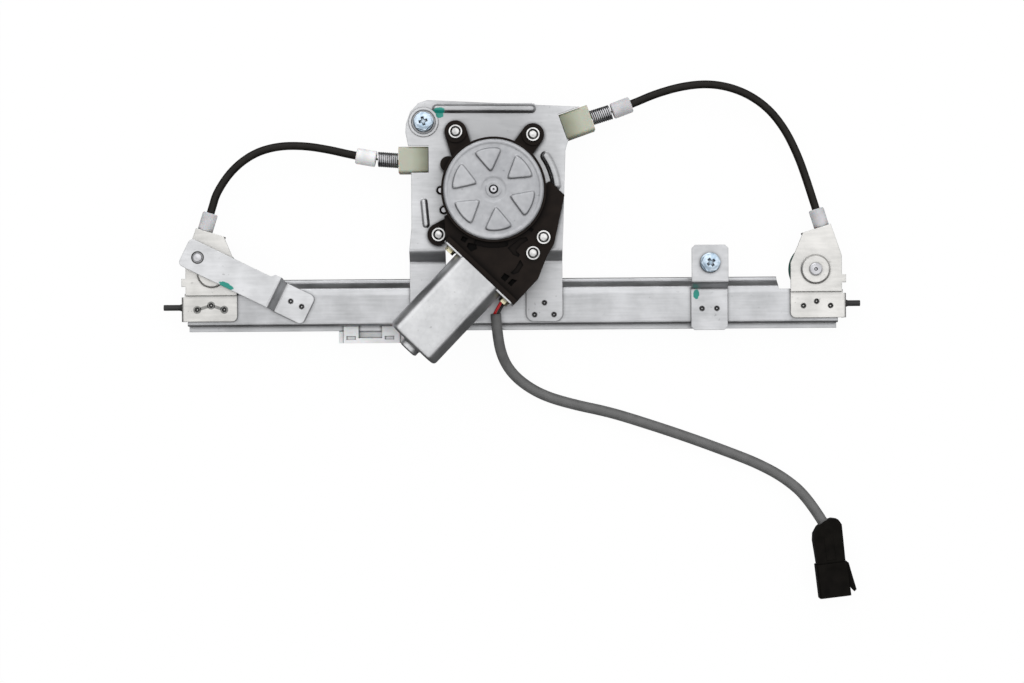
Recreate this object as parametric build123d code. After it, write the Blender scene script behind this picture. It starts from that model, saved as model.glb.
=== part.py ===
from build123d import *
import os
from math import acos, atan2, cos, degrees, hypot, pi, radians, sin, sqrt, tan

# A single-rail cable window regulator with its gear motor, lying on its back.
# The origin is the drum's axis at the face that the regulator rests on. X runs along the rail,
# Z points out of the front. All sizes are in millimetres and all angles in degrees.

# Clearances
SLIDE_GAP = 0.3                 # between the slider and the rail
RUNNING_GAP = 0.05              # radial, between a shaft and its bore
SEAT_GAP = 0.1                  # between fixed pieces that sit in each other
SIDE_GAP = 0.3                  # beside a turning part
THROUGH = 300.0                 # longer than any cut, for what goes right through

# Sheets and heights above the rest face
PLATE_SHEET = 1.5
RAIL_SHEET = 1.2
WEB_FRONT = 16.0                # front face of the rail's web
MOUNT_RISE = 8.5                # from a pad on the web up to a mounting face
CABLE_HEIGHT = 12.5
BEND = 1.2                      # inner radius of a bend in the thick sheet
PAD_TOP = WEB_FRONT + PLATE_SHEET
MOUNT_FACE = PAD_TOP + MOUNT_RISE
MOUNT_BACK = MOUNT_FACE - PLATE_SHEET
WEB_BACK = WEB_FRONT - RAIL_SHEET

# Guide rail
RAIL_PAST_LEFT = 19.5           # how far the rail reaches past each pulley's axis
RAIL_PAST_RIGHT = 17.7
RAIL_TOP = -67.0                # the edge nearest the motor
RAIL_WIDTH = 40.7
LIP_WIDTH = 4.3                 # of the lip that the slider hangs on
LIP_FRONT = 6.0                 # height of the lip's front face
HEAD_FRONT = 8.0                # height of the folded head's front face
HEAD_BACK = 2.4
HEAD_FACE_WIDTH = 3.0
HEAD_DEPTH_IN_Y = 6.2
WEB_TOP_FROM_EDGE = 7.9         # from the top edge down to the start of the slope
CREASE_FROM_EDGE = 12.5
CREASE_DROP = 0.6
HEAD_FROM_PULLEY = 28.5         # the head ends this far before each pulley's axis
HEAD_BEVEL = 1.2
NOTCH_FROM_EDGE = 9.8

# Cable pulleys and end brackets, in each bracket's own frame: the pulley's axis is its origin
# and X points outwards along the rail
PULLEY_SPAN = 472.6
LEFT_PULLEY_X = -221.3
PULLEY_Y = -61.75
GROOVE_RADIUS = 17.0
PULLEY_RADIUS = 20.3
PULLEY_WIDTH = 6.0
CABLE_RADIUS = 0.75
BRACKET_OUTER = 24.2            # to the outer face of the end wall
BRACKET_INNER = 19.5
BRACKET_SHOULDER = 20.6
BRACKET_JOGGLE = -15.95
BRACKET_FOOT = -37.9
END_WALL_TOP = -18.7
SEAT_OUT = 5.8                  # the conduit's seat in the top flange
SEAT_UP = 33.5
SEAT_TILT = 17.5
FLANGE_INWARD = 16.1
FLANGE_OUTWARD = 6.6
FLANGE_BOTTOM = 5.0
BOSS_RADIUS = 11.8
BOSS_RISE = 1.6
PIN_RADIUS = 3.0
PIN_HEAD_RADIUS = 4.9
PIN_HEAD_HEIGHT = 1.5
PIN_COLLAR_RADIUS = 5.0
PIN_COLLAR_HEIGHT = 1.2
HUB_RADIUS = 6.5
BRACKET_CLINCHES = ((-9.4, -28.6), (0.9, -25.2), (11.8, -28.6))

# Buffers
BUFFER_Y = -26.7                # in the bracket's frame
BUFFER_HEIGHT = 8.3
BUFFER_RADIUS = 5.4
BUFFER_LENGTH = 27.0
BUFFER_TAIL_RADIUS = 2.3
LEFT_TAIL = 15.0
RIGHT_TAIL = 11.9

# Slider
SLIDER_X = -97.0
SLIDER_HALF = 26.0
SLIDER_BACK = 1.0
CLAW_OUTER = 22.0
CLAW_INNER_LEFT = -10.4
CLAW_INNER_RIGHT = 8.1
CLAW_TOP = 9.5
CLAW_FOOT = 9.6                 # below the rail's lip
CLAW_REACH = 3.8                # over the front of the lip
HOLDER_HALF = 10.0              # the block that holds the cable nipples
TONGUE_HALF = 12.0
NIPPLE_RADIUS = 1.9
NIPPLE_LENGTH = 6.0
GLASS_BUSH_RADIUS = 4.0
GLASS_BUSH_BORE = 2.5

# Motor plate
PLATE_TOP_LEFT = (-51.6, 71.9)
PLATE_TOP_RIGHT = (74.0, 65.6)
PLATE_LEFT = -64.4
PLATE_RIGHT = 54.0
PLATE_FOOT = -101.2
PLATE_FOOT_RADIUS = 6.3
PLATE_STEP_TOP = -45.5
PLATE_STEP_LENGTH = 9.0
PLATE_STEP_BEND = 2.5
PLATE_BEAD = (-53.8, -16.2)
PLATE_BEAD_TURN = -85.0
PLATE_BEAD_SIZE = (18.5, 4.6)
LEFT_LEG = (-66.3, -38.0)
RIGHT_LEG = (24.7, 53.2)
LEG_CLINCHES = ((-7.8, -95.9), (0.0, -86.6), (7.4, -95.9))
RIB_HEIGHT = 1.2
ARC_RIB_RADIUS = 49.0
ARC_RIB_WIDTH = 7.4
SHAFT_OPENING = 12.0

# Door fasteners
BOLT_SEAT_GAP = 1.6             # between a bolt's flange and its bracket, for the door's sheet
BOLT_RADIUS = 4.0
BOLT_ACROSS_FLATS = 13.0
BOLT_FLANGE_RADIUS = 7.9
BOLT_FLANGE_HEIGHT = 1.5
BOLT_HEAD_HEIGHT = 6.0
BOLT_LENGTH = 22.0
BOLT_CHAMFER = 0.8
BOLT_NECK_EASE = 0.6            # the thread's depth, taken off the shank in its nut and above it
BOLT_NECK_BELOW_NUT = 0.4       # where that slimmer part starts
NUT_ACROSS_FLATS = 13.0
NUT_HEIGHT = 6.5
PLATE_BOLT = (-54.5, 54.8)
BRACKET_BOLT = (168.2, -56.4)

# Right mounting bracket
MOUNT_WIDTH = 28.6
MOUNT_TOP = -42.4
MOUNT_STEP_TOP = -71.4
MOUNT_STEP_LENGTH = 4.8
MOUNT_FOOT = -108.8
MOUNT_CHAMFER = 2.6
MOUNT_CLINCHES = ((-5.8, -92.0), (5.8, -92.0))

# Left mounting arm, in its own frame: the stud's axis is its origin and X points to the rail
ARM_STUD = (-231.4, -49.6)
ARM_TURN = -26.2
ARM_WIDTH = 23.2
ARM_BACK = 11.8
ARM_STEP = 65.6
ARM_STEP_LENGTH = 5.4
ARM_END = 95.6
ARM_PAD_WIDTH = 24.4
ARM_CORNER = 4.0
ARM_BUMP = (58.0, 60.6, 66.0, 69.6)     # the bulge of the upper edge at the step
ARM_BUMP_RISE = 2.8
ARM_CLINCHES = ((79.5, 0.6), (89.0, 0.6))
STUD_RADIUS = 3.0
STUD_COLLAR_RADIUS = 4.2
STUD_LENGTH = 6.4

# Drum and its housing
DRUM_CABLE_RADIUS = 25.8
DRUM_FLANGE_RISE = 2.7          # of the flanges, over the cable's line on the drum
DRUM_BOTTOM = 3.4
DRUM_TOP = 22.6
DRUM_HUB_RADIUS = 9.0
LEAD_RISE = 1.7                 # the cables leave the drum this far below and above the mean height
TURN_PITCH = 2.0
TURNS_EACH = 2
HOUSING_ROOM = 2.1              # between the drum's flanges and the housing's wall
HOUSING_WALL = 2.4
HOUSING_FLOOR = 2.6
HOUSING_PIN_RADIUS = 2.8
HOUSING_PIN_CIRCLE = 41.4
HOUSING_PINS = ((178.0, 1.2), (199.6, 1.2), (-32.0, -0.1), (-78.0, -0.1))   # angle, rise over the plate
SHAFT_RADIUS = 4.0

# Cable exits: each line is tangent to the drum, and its distances count from the tangent point
LEFT_EXIT = 180.0
RIGHT_EXIT = 22.0
LEFT_SOCKET_MIDDLE = 62.7
RIGHT_SOCKET_MIDDLE = 80.8
LEFT_WAYS = (180.0, 175.7, 169.8)       # of the socket, the spring and the ferrule
RIGHT_WAYS = (19.5, 17.2, 20.6)
SOCKET_LENGTH = 23.2
SOCKET_WIDTH = 20.2
SOCKET_HEIGHT = 24.4
SOCKET_RADIUS = 2.0
SPRING_RADIUS = 6.0
SPRING_WIRE = 1.7
SPRING_COILS = 10
FERRULE_RADIUS = 6.3
FERRULE_LENGTH = 15.6
END_FERRULE_RADIUS = 6.0
END_FERRULE_LENGTH = 14.5
CONDUIT_RADIUS = 3.15
CONDUIT_BORE = 1.2
CONDUIT_DEPTH = 8.0             # how far a conduit goes into its ferrule
CONDUIT_LEAD = 4.5              # straight length outside a ferrule

# Free routes of the conduits between their straight ends
LEFT_ROUTE = ((-128.8, 34.8), (-148.8, 38.1), (-169.7, 38.0), (-188.7, 32.5), (-205.5, 19.9), (-217.8, 2.1))
RIGHT_ROUTE = (
    (126.9, 76.8), (149.3, 83.1), (172.3, 84.8), (195.0, 79.1), (214.5, 66.7), (228.7, 49.0), (238.9, 27.8),
    (245.4, 9.1),
)

# Gear motor
MOTOR_TURN = 46.2               # direction of the armature's axis
WORM_OFFSET = 36.0              # from the drum's axis to the armature's axis
WORM_HEIGHT = 43.0
WHEEL_TEETH = 73
WHEEL_MODULE = 0.87
WHEEL_WIDTH = 9.0
WHEEL_HUB_RADIUS = 12.0
WORM_TIP_RADIUS = 3.05
WORM_ROOT_RADIUS = 2.0
WORM_HALF_LENGTH = 14.0
GEARBOX_TOP = 57.0
CUP_RADIUS = 40.4
CUP_BASE_RADIUS = 37.0
CUP_BORE = 34.6
CUP_FLOOR = 3.0
CUP_FLARE = 44.0                # height at which the cup starts to widen
CUP_LOBE = (-35.0, 20.3)
CUP_LOBE_RADIUS = 6.0
CUP_LOBE_TOP = 48.0
COVER_RADIUS = 38.9
COVER_SHEET = 1.4
COVER_RISE = 1.2
COVER_PADS = (98.0, 37.0, -22.0, -83.0, -142.5, 160.0)
PAD_INNER = 15.0
PAD_OUTER = 30.5
PAD_HALF_ANGLE = 21.0
SHAFT_TIP_RADIUS = 2.6
EAR_TOP = 36.0
EAR_RADIUS = 8.6
EARS = ((-29.4, 46.5), (30.7, 43.9), (-43.1, -33.4))
EAR_ARM_TURNS = (-73.0, -126.0, 28.0)
EAR_ARM_LENGTH = 24.0
LUGS = ((38.2, -36.8), (30.0, -48.9))
LUG_TOP = 52.6
BUSH_RADIUS = 5.2
BUSH_BORE = 4.1
SCREW_RADIUS = 2.5
SCREW_HEAD_RADIUS = 3.5
FLANGE_FACE = -53.6             # the motor's flange, along the armature's axis from the worm
FLANGE_HALF = 36.0
FLANGE_BOTTOM_HEIGHT = 29.0
BODY_TOP = 51.5
HOLLOW_TOP = 43.0               # of the ribbed hollow that opens towards the plate
WEB_PITCH = 13.0
WEB_THICK = 2.0
BODY_WALL = 2.6
TUNNEL_RADIUS = 8.5             # round the worm
TUNNEL_WIDTH = 21.0
TUNNEL_LENGTH = 78.0
WORM_ROOM_RADIUS = 6.0
WORM_ROOM_END = 18.5            # past the worm's middle
POCKET_DEPTH = 5.0
POCKETS = (                     # moulded pockets in the top
    ((-19.9, -40.5), (-13.7, -41.7), (-13.1, -45.5), (-17.7, -47.6), (-21.1, -43.5)),
    ((-24.1, -35.3), (-19.8, -37.2), (-22.1, -40.7), (-25.9, -38.5)),
    ((7.9, -64.1), (12.1, -66.6), (8.3, -70.9), (5.0, -67.8)),
    ((13.7, -68.6), (17.6, -69.8), (12.9, -74.4), (10.2, -72.0)),
)
SHELF_DEPTH = 2.0
SHELVES = (                     # shallower steps in the top
    (
        (10.4, -44.8), (13.9, -41.9), (20.0, -37.3), (25.0, -36.7), (26.3, -39.0), (20.9, -42.3),
        (16.9, -46.9), (19.9, -50.0), (18.8, -52.0), (14.6, -50.2),
    ),
    ((20.1, -53.8), (22.6, -58.1), (18.7, -63.8), (14.8, -65.5), (12.5, -64.0), (16.4, -60.3)),
    ((27.8, -28.7), (30.7, -30.6), (28.9, -32.9), (26.6, -31.2)),
)
ARC_SHELF = (42.7, 4.2, -108.0, 30.0)   # radius, width, first angle, angle covered
RIGHT_SIDE = (
    (39.5, 3.9), (43.0, 6.4), (54.5, -4.5), (50.8, -21.0), (46.2, -41.7), (40.5, -51.7), (34.0, -68.2),
)
CAN_RADIUS = 23.2
CAN_HALF_THICKNESS = 16.2
CAN_LENGTH = 74.6
CAN_WALL = 1.8
CAN_CORNER = 5.0                # between a flat side and a round side
CAN_FLANGE = 1.5
CAN_BOSS_RADIUS = 8.0
CAN_BOSS_LENGTH = 5.5
FLANGE_SCREWS = 28.5
ARMATURE_RADIUS = 12.0
MAGNET_RADIUS = 21.2
MAGNET_BORE = 12.6
MAGNET_WEDGE = 60.0             # longer than the magnet is thick
MAGNET_HALF_ANGLE = 37.0
ARMATURE_SHAFT = 2.5
BEARING_RADIUS = 5.0

# Feed cable and its plug
WIRE_RADIUS = 1.15
SLEEVE_RADIUS = 4.2
WIRE_SPREAD = 1.4               # from the pair's middle to each wire
SLEEVE_BORE = 3.0
GROMMET_ACROSS = -28.6          # from the armature's axis
GROMMET_HEIGHT = 32.0
GROMMET_WIDTH = 7.6
GROMMET_THICK = 5.6
GROMMET_LENGTH = 9.0
WIRE_ROUTE = ((4.6, -89.0, 30.2), (1.4, -94.6, 27.4))
WIRE_STUB = 1.6                 # straight out of the grommet
WIRE_IN_SLEEVE = 6.0
SLEEVE_START = (1.0, -97.6, 25.8)
SLEEVE_ROUTE = (
    (2.0, -111.0, 24.6),
    (4.6, -126.0, 16.5),
    (10.5, -138.5, 8.6),
    (21.0, -149.5, 4.6),
    (38.0, -159.8, 4.3),
    (62.0, -167.0, 4.3),
    (90.0, -173.0, 4.3),
    (120.0, -182.5, 4.3),
    (151.0, -193.0, 4.4),
    (180.0, -203.8, 4.4),
    (206.0, -214.0, 4.6),
    (228.0, -226.0, 5.0),
    (246.0, -242.0, 6.6),
    (258.2, -262.6, 8.9),
)
PLUG_POINT = (258.8, -258.0)
PLUG_TURN = -83.3
PLUG_HEIGHT = 8.9
PLUG_THICK = 16.6
PLUG_NECK_THICK = 14.2
PLUG_NECK_LENGTH = 34.7
PLUG_BODY_WIDTH = 24.6
PLUG_BODY_LENGTH = 26.7
PLUG_MOUTH = 6.0                # from the body's start to the mouth's floor
PLUG_NECK = (                   # outline of the neck: across, along
    (-10.9, 36.0), (-11.7, 16.0), (-10.8, 10.4), (-7.0, 5.0), (-1.0, 1.2), (5.0, 0.0), (9.4, 1.2),
    (11.6, 5.2), (10.9, 36.0),
)
PLUG_LATCH = ((12.0, 36.0), (13.6, 36.0), (15.2, 46.0), (17.2, 57.5), (15.4, 59.0), (12.0, 54.0))


# Common shapes

ON_BASE = (Align.CENTER, Align.CENTER, Align.MIN)
FROM_END = (Align.MIN, Align.CENTER, Align.MIN)


def disc(radius, bottom, top, at=(0, 0)):
    """An upright round from one height to another."""
    return Pos(at[0], at[1], bottom) * Cylinder(
        radius, top - bottom, align=ON_BASE
    )


def outline(*points):
    """A flat face with straight edges between its points."""
    return make_face(Polyline(*points, close=True))


def slab(face, bottom, top):
    """A flat face of the XY plane, thickened from one height to another."""
    return extrude(Pos(0, 0, bottom) * face, top - bottom, dir=(0, 0, 1))


def turned(*points):
    """A solid of revolution about Z, from an outline of radius and height."""
    return revolve(Plane.XZ * outline(*points), Axis.Z)


def ring(outer, inner, bottom, top):
    """A plain ring about Z."""
    return turned((inner, bottom), (outer, bottom), (outer, top), (inner, top))


def lying(point, height, turn):
    """The frame of a round piece that lies flat: its Z runs along the turn, its Y points up."""
    way = (cos(radians(turn)), sin(radians(turn)), 0)
    return Plane(origin=(point[0], point[1], height), x_dir=(-way[1], way[0], 0), z_dir=way)


def moved(point, turn, length):
    """The point reached from another by going a length along a turn."""
    return (point[0] + length * cos(radians(turn)), point[1] + length * sin(radians(turn)))


def stepped_sheet(start, step, step_length, end, width, bend):
    """A strip along X that drops from the mounting face to the rail's web by one step."""
    slope = atan2(MOUNT_RISE, step_length)
    shift = PLATE_SHEET * tan(slope / 2)
    foot = step + step_length
    profile = outline(
        (start, MOUNT_FACE), (step, MOUNT_FACE), (foot, PAD_TOP), (end, PAD_TOP),
        (end, WEB_FRONT), (foot - shift, WEB_FRONT), (step - shift, MOUNT_BACK), (start, MOUNT_BACK),
    )
    bends = profile.vertices().filter_by(lambda v: start + 1 < v.X < end - 1)
    profile = fillet(bends, bend)
    return extrude(Plane.XZ * profile, width / 2, both=True)


def clinch_marks(points):
    """The round punch marks that join a sheet to the rail, as tools to cut with."""
    return Part() + [
        Pos(x, y, PAD_TOP) * turned((0, 1), (2.0, 1), (1.9, -1.0), (0.9, -1.1), (0.6, -0.7), (0, -0.6))
        for x, y in points
    ]


def clinch_buttons(points):
    """The raised buttons of those marks on the back of the rail's web."""
    return Part() + [disc(2.3, WEB_BACK - 0.6, WEB_BACK + 0.2, at) for at in points]


# Guide rail

rail_edge = RAIL_TOP - RAIL_WIDTH
rail_flange = rail_edge + LIP_WIDTH
half_rail_sheet = RAIL_SHEET / 2
right_pulley_x = LEFT_PULLEY_X + PULLEY_SPAN
rail_left = LEFT_PULLEY_X - RAIL_PAST_LEFT
rail_length = RAIL_PAST_LEFT + PULLEY_SPAN + RAIL_PAST_RIGHT


def place_at_end(piece, side):
    """Move a piece from an end bracket's own frame to the left (-1) or right (+1) end."""
    if side < 0:
        return Pos(LEFT_PULLEY_X, PULLEY_Y, 0) * mirror(piece, about=Plane.YZ)
    return Pos(right_pulley_x, PULLEY_Y, 0) * piece


def end_points(points, side):
    """Points of an end bracket's frame, in the regulator's frame."""
    centre = LEFT_PULLEY_X if side < 0 else right_pulley_x
    return [(centre + side * x, PULLEY_Y + y) for x, y in points]


right_leg_middle = sum(RIGHT_LEG) / 2
left_leg_middle = sum(LEFT_LEG) / 2
leg_clinches = [(right_leg_middle + x, y) for x, y in LEG_CLINCHES]
leg_clinches += [(left_leg_middle - x, y) for x, y in LEG_CLINCHES]
bracket_clinches = [(BRACKET_BOLT[0] + x, y) for x, y in MOUNT_CLINCHES]
arm_clinches = [
    moved(moved(ARM_STUD, ARM_TURN, x), ARM_TURN + 90, y) for x, y in ARM_CLINCHES
]
end_clinches = {side: end_points(BRACKET_CLINCHES, side) for side in (-1, 1)}


def make_guide_rail():
    """The galvanised rail: web, hanging lip below, and a folded head above that guides the slider."""
    head_top = RAIL_TOP - half_rail_sheet
    head_front = HEAD_FRONT - half_rail_sheet
    web_middle = WEB_FRONT - half_rail_sheet
    profile = FilletPolyline(
        (rail_edge, LIP_FRONT - half_rail_sheet),
        (rail_flange + half_rail_sheet, LIP_FRONT - half_rail_sheet),
        (rail_flange + half_rail_sheet, web_middle),
        (RAIL_TOP - CREASE_FROM_EDGE, web_middle),
        (RAIL_TOP - WEB_TOP_FROM_EDGE, web_middle - CREASE_DROP),
        (RAIL_TOP - HEAD_FACE_WIDTH, head_front),
        (head_top, head_front),
        (head_top, HEAD_BACK + half_rail_sheet),
        (RAIL_TOP - HEAD_DEPTH_IN_Y, HEAD_BACK + half_rail_sheet),
        radius=(1.2, 1.9, 6.0, 2.0, 1.2, 1.0, 1.0),
    )
    section = trace(profile, RAIL_SHEET)
    rail = extrude(Plane(origin=(rail_left, 0, 0), x_dir=(0, 1, 0), z_dir=(1, 0, 0)) * section, rail_length)
    notch = RAIL_TOP - NOTCH_FROM_EDGE
    for side, pulley_x in ((-1, LEFT_PULLEY_X), (1, right_pulley_x)):
        head_end = pulley_x - side * HEAD_FROM_PULLEY
        far = head_end + side * THROUGH
        cut = outline(
            (head_end, notch), (head_end - side * HEAD_BEVEL, RAIL_TOP), (head_end - side * HEAD_BEVEL, 0),
            (far, 0), (far, notch),
        )
        rail -= slab(cut, 0, WEB_FRONT)
        rail -= disc(PULLEY_RADIUS + 1, 0, WEB_FRONT + 1, (pulley_x, PULLEY_Y))
    every_clinch = leg_clinches + bracket_clinches + arm_clinches + end_clinches[-1] + end_clinches[1]
    return rail + clinch_buttons(every_clinch)


# End brackets, pulleys, pins and buffers

seat_up_turn = SEAT_TILT + 90
seat_point = (SEAT_OUT, SEAT_UP)
buffer_hole = BUFFER_TAIL_RADIUS + SEAT_GAP
pin_head_bottom = PAD_TOP + PLATE_SHEET + BOSS_RISE
hub_top = PAD_TOP + BOSS_RISE - SIDE_GAP
hub_bottom = CABLE_HEIGHT - PULLEY_WIDTH / 2 - 0.9
collar_top = hub_bottom - SIDE_GAP
cable_bend = GROOVE_RADIUS + CABLE_RADIUS + SEAT_GAP


def make_end_bracket():
    """A pulley bracket: pad on the web, end wall, raised cheek over the pulley, and a cable seat."""
    inner_top = moved(seat_point, SEAT_TILT, -FLANGE_INWARD)
    outer_top = moved(seat_point, SEAT_TILT, FLANGE_OUTWARD)
    cheek = outline(
        (-BRACKET_INNER, BRACKET_JOGGLE - PLATE_SHEET), (-BRACKET_INNER, 4.9), inner_top, outer_top,
        (BRACKET_SHOULDER, 10.7), (BRACKET_SHOULDER, BRACKET_JOGGLE - PLATE_SHEET),
    )
    bracket = slab(cheek, PAD_TOP, PAD_TOP + PLATE_SHEET)
    bend_middle = BEND + PLATE_SHEET / 2
    side_profile = FilletPolyline(
        (-BRACKET_INNER, PAD_TOP - PLATE_SHEET / 2),
        (BRACKET_OUTER - PLATE_SHEET / 2, PAD_TOP - PLATE_SHEET / 2),
        (BRACKET_OUTER - PLATE_SHEET / 2, 0),
        radius=bend_middle,
    )
    pad_height = BRACKET_JOGGLE - BRACKET_FOOT
    pad = extrude(Plane.XZ * trace(side_profile, PLATE_SHEET), pad_height / 2, both=True)
    pad = Pos(0, (BRACKET_JOGGLE + BRACKET_FOOT) / 2, 0) * pad
    relief = Pos(BRACKET_OUTER, END_WALL_TOP, 0) * Box(
        2 * (BEND + PLATE_SHEET), 20, 2 * PAD_TOP + 2, align=(Align.CENTER, Align.MIN, Align.CENTER)
    )
    pad = pad - relief
    corner = pad.edges().filter_by(Axis.Z).sort_by(lambda e: e.center().X + e.center().Y)[0]
    bracket += fillet(corner, 4.0)
    flange_middle = moved(seat_point, SEAT_TILT, (FLANGE_OUTWARD - FLANGE_INWARD) / 2)
    flange = Rot(0, 0, SEAT_TILT) * Box(
        FLANGE_INWARD + FLANGE_OUTWARD, PLATE_SHEET, PAD_TOP + PLATE_SHEET - FLANGE_BOTTOM,
        align=(Align.CENTER, Align.MAX, Align.MIN),
    )
    bracket += Pos(flange_middle[0], flange_middle[1], FLANGE_BOTTOM) * flange
    slot_frame = lying(seat_point, CABLE_HEIGHT, seat_up_turn)
    slot = Cylinder(2.8, 8) + Pos(0, -10, 0) * Box(5.6, 20, 8)
    bracket -= slot_frame * slot
    tab = Pos(BRACKET_SHOULDER, -7.3, PAD_TOP - 2.5) * Box(
        3.2, 6.2, 2.5 + PLATE_SHEET, align=FROM_END
    )
    tab -= Pos(BRACKET_SHOULDER, -7.3, PAD_TOP) * Box(
        2 * (3.2 - PLATE_SHEET), 7, 6, align=(Align.CENTER, Align.CENTER, Align.MAX)
    )
    bracket += tab
    cheek_top = PAD_TOP + PLATE_SHEET
    bracket += Pos(0, 0, cheek_top) * Cone(
        BOSS_RADIUS, BOSS_RADIUS - BOSS_RISE, BOSS_RISE, align=ON_BASE
    )
    bracket -= disc(BOSS_RADIUS - BOSS_RISE - 0.6, PAD_TOP - 1, PAD_TOP + BOSS_RISE)
    bracket -= disc(PIN_RADIUS + SEAT_GAP / 2, 0, MOUNT_FACE)
    bracket -= clinch_marks(BRACKET_CLINCHES)
    tail_hole = Pos(BRACKET_OUTER, BUFFER_Y, BUFFER_HEIGHT) * Rot(0, 90, 0) * Cylinder(buffer_hole, 10)
    return bracket - tail_hole


def make_pulley():
    """A nylon cable pulley with a round-bottomed groove, a dished web and a long hub."""
    half = PULLEY_WIDTH / 2
    groove = 1.7
    body = turned(
        (PIN_RADIUS + RUNNING_GAP, hub_bottom - CABLE_HEIGHT),
        (HUB_RADIUS, hub_bottom - CABLE_HEIGHT),
        (HUB_RADIUS, -half + 1.6),
        (GROOVE_RADIUS - 3.2, -half + 1.6),
        (GROOVE_RADIUS - 2.4, -half),
        (PULLEY_RADIUS - 0.5, -half),
        (PULLEY_RADIUS, -half + 0.5),
        (PULLEY_RADIUS, -groove),
        (GROOVE_RADIUS + 0.9, -1.0),
        (GROOVE_RADIUS, -0.6),
        (GROOVE_RADIUS, 0.6),
        (GROOVE_RADIUS + 0.9, 1.0),
        (PULLEY_RADIUS, groove),
        (PULLEY_RADIUS, half - 0.5),
        (PULLEY_RADIUS - 0.5, half),
        (GROOVE_RADIUS - 2.4, half),
        (GROOVE_RADIUS - 3.2, half - 1.6),
        (HUB_RADIUS, half - 1.6),
        (HUB_RADIUS, hub_top - CABLE_HEIGHT),
        (PIN_RADIUS + RUNNING_GAP, hub_top - CABLE_HEIGHT),
    )
    return Pos(0, 0, CABLE_HEIGHT) * body


def make_pulley_pin():
    """The shouldered rivet that carries a pulley: dimpled head in front, collar behind."""
    head_top = pin_head_bottom + PIN_HEAD_HEIGHT
    collar_bottom = collar_top - PIN_COLLAR_HEIGHT
    return turned(
        (0, collar_bottom), (PIN_COLLAR_RADIUS, collar_bottom), (PIN_COLLAR_RADIUS, collar_top),
        (PIN_RADIUS, collar_top), (PIN_RADIUS, pin_head_bottom), (PIN_HEAD_RADIUS, pin_head_bottom),
        (PIN_HEAD_RADIUS, head_top - 0.5), (PIN_HEAD_RADIUS - 0.9, head_top), (1.5, head_top),
        (0.9, head_top - 0.9), (0, head_top - 0.9),
    )


def make_buffer(tail):
    """A rubber end stop: its neck is pulled through the end wall and its tail stays outside."""
    wall_inner = BRACKET_OUTER - PLATE_SHEET
    body = turned(
        (0, wall_inner - BUFFER_LENGTH), (BUFFER_RADIUS - 1.2, wall_inner - BUFFER_LENGTH),
        (BUFFER_RADIUS, wall_inner - BUFFER_LENGTH + 1.5), (BUFFER_RADIUS, wall_inner - SEAT_GAP),
        (BUFFER_TAIL_RADIUS, wall_inner - SEAT_GAP), (BUFFER_TAIL_RADIUS, BRACKET_OUTER + SEAT_GAP),
        (BUFFER_TAIL_RADIUS + 0.9, BRACKET_OUTER + SEAT_GAP), (BUFFER_TAIL_RADIUS, BRACKET_OUTER + 2.6),
        (BUFFER_TAIL_RADIUS, BRACKET_OUTER + tail), (0, BRACKET_OUTER + tail),
    )
    return Pos(0, BUFFER_Y, BUFFER_HEIGHT) * Rot(0, 90, 0) * body


# Mounting arm and mounting bracket

def make_left_arm():
    """The slanting arm that carries a mounting point outside the left end of the rail."""
    strip = stepped_sheet(-ARM_BACK, ARM_STEP, ARM_STEP_LENGTH, ARM_END, 2 * ARM_PAD_WIDTH, BEND)
    half = ARM_WIDTH / 2
    pad_half = ARM_PAD_WIDTH / 2
    plan = outline(
        (-ARM_BACK, -half), (ARM_STEP, -half), (ARM_STEP + ARM_STEP_LENGTH, -pad_half),
        (ARM_END, -pad_half), (ARM_END, pad_half), (ARM_STEP + ARM_STEP_LENGTH, pad_half),
        (ARM_BUMP[3], pad_half), (ARM_BUMP[2], half + ARM_BUMP_RISE), (ARM_BUMP[1], half + ARM_BUMP_RISE),
        (ARM_BUMP[0], half), (-ARM_BACK, half),
    )
    bump = plan.vertices().filter_by(lambda v: v.Y > half + 1 or abs(v.X - ARM_BUMP[0]) < 1)
    plan = fillet(bump, 1.8)
    corners = plan.vertices().filter_by(lambda v: v.X < -ARM_BACK + 1 or v.X > ARM_END - 1)
    arm = strip & slab(fillet(corners, ARM_CORNER), 0, MOUNT_FACE + 1)
    arm -= clinch_marks(ARM_CLINCHES)
    arm -= disc(STUD_COLLAR_RADIUS + SEAT_GAP, MOUNT_BACK - 1, MOUNT_FACE + 1)
    return Pos(*ARM_STUD) * Rot(0, 0, ARM_TURN) * arm


def make_arm_stud():
    """The collar and threaded pin at the arm's end."""
    collar_bottom = MOUNT_BACK - 1.6
    stud = turned(
        (0, MOUNT_FACE - STUD_LENGTH), (STUD_RADIUS - 0.6, MOUNT_FACE - STUD_LENGTH),
        (STUD_RADIUS, MOUNT_FACE - STUD_LENGTH + 0.6), (STUD_RADIUS, collar_bottom),
        (STUD_COLLAR_RADIUS + 2, collar_bottom), (STUD_COLLAR_RADIUS + 2, MOUNT_BACK),
        (STUD_COLLAR_RADIUS, MOUNT_BACK), (STUD_COLLAR_RADIUS, MOUNT_FACE - 0.3),
        (STUD_RADIUS, MOUNT_FACE - 0.3), (STUD_RADIUS, MOUNT_FACE + 1.0), (0, MOUNT_FACE + 1.3),
    )
    return Pos(*ARM_STUD) * stud


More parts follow.
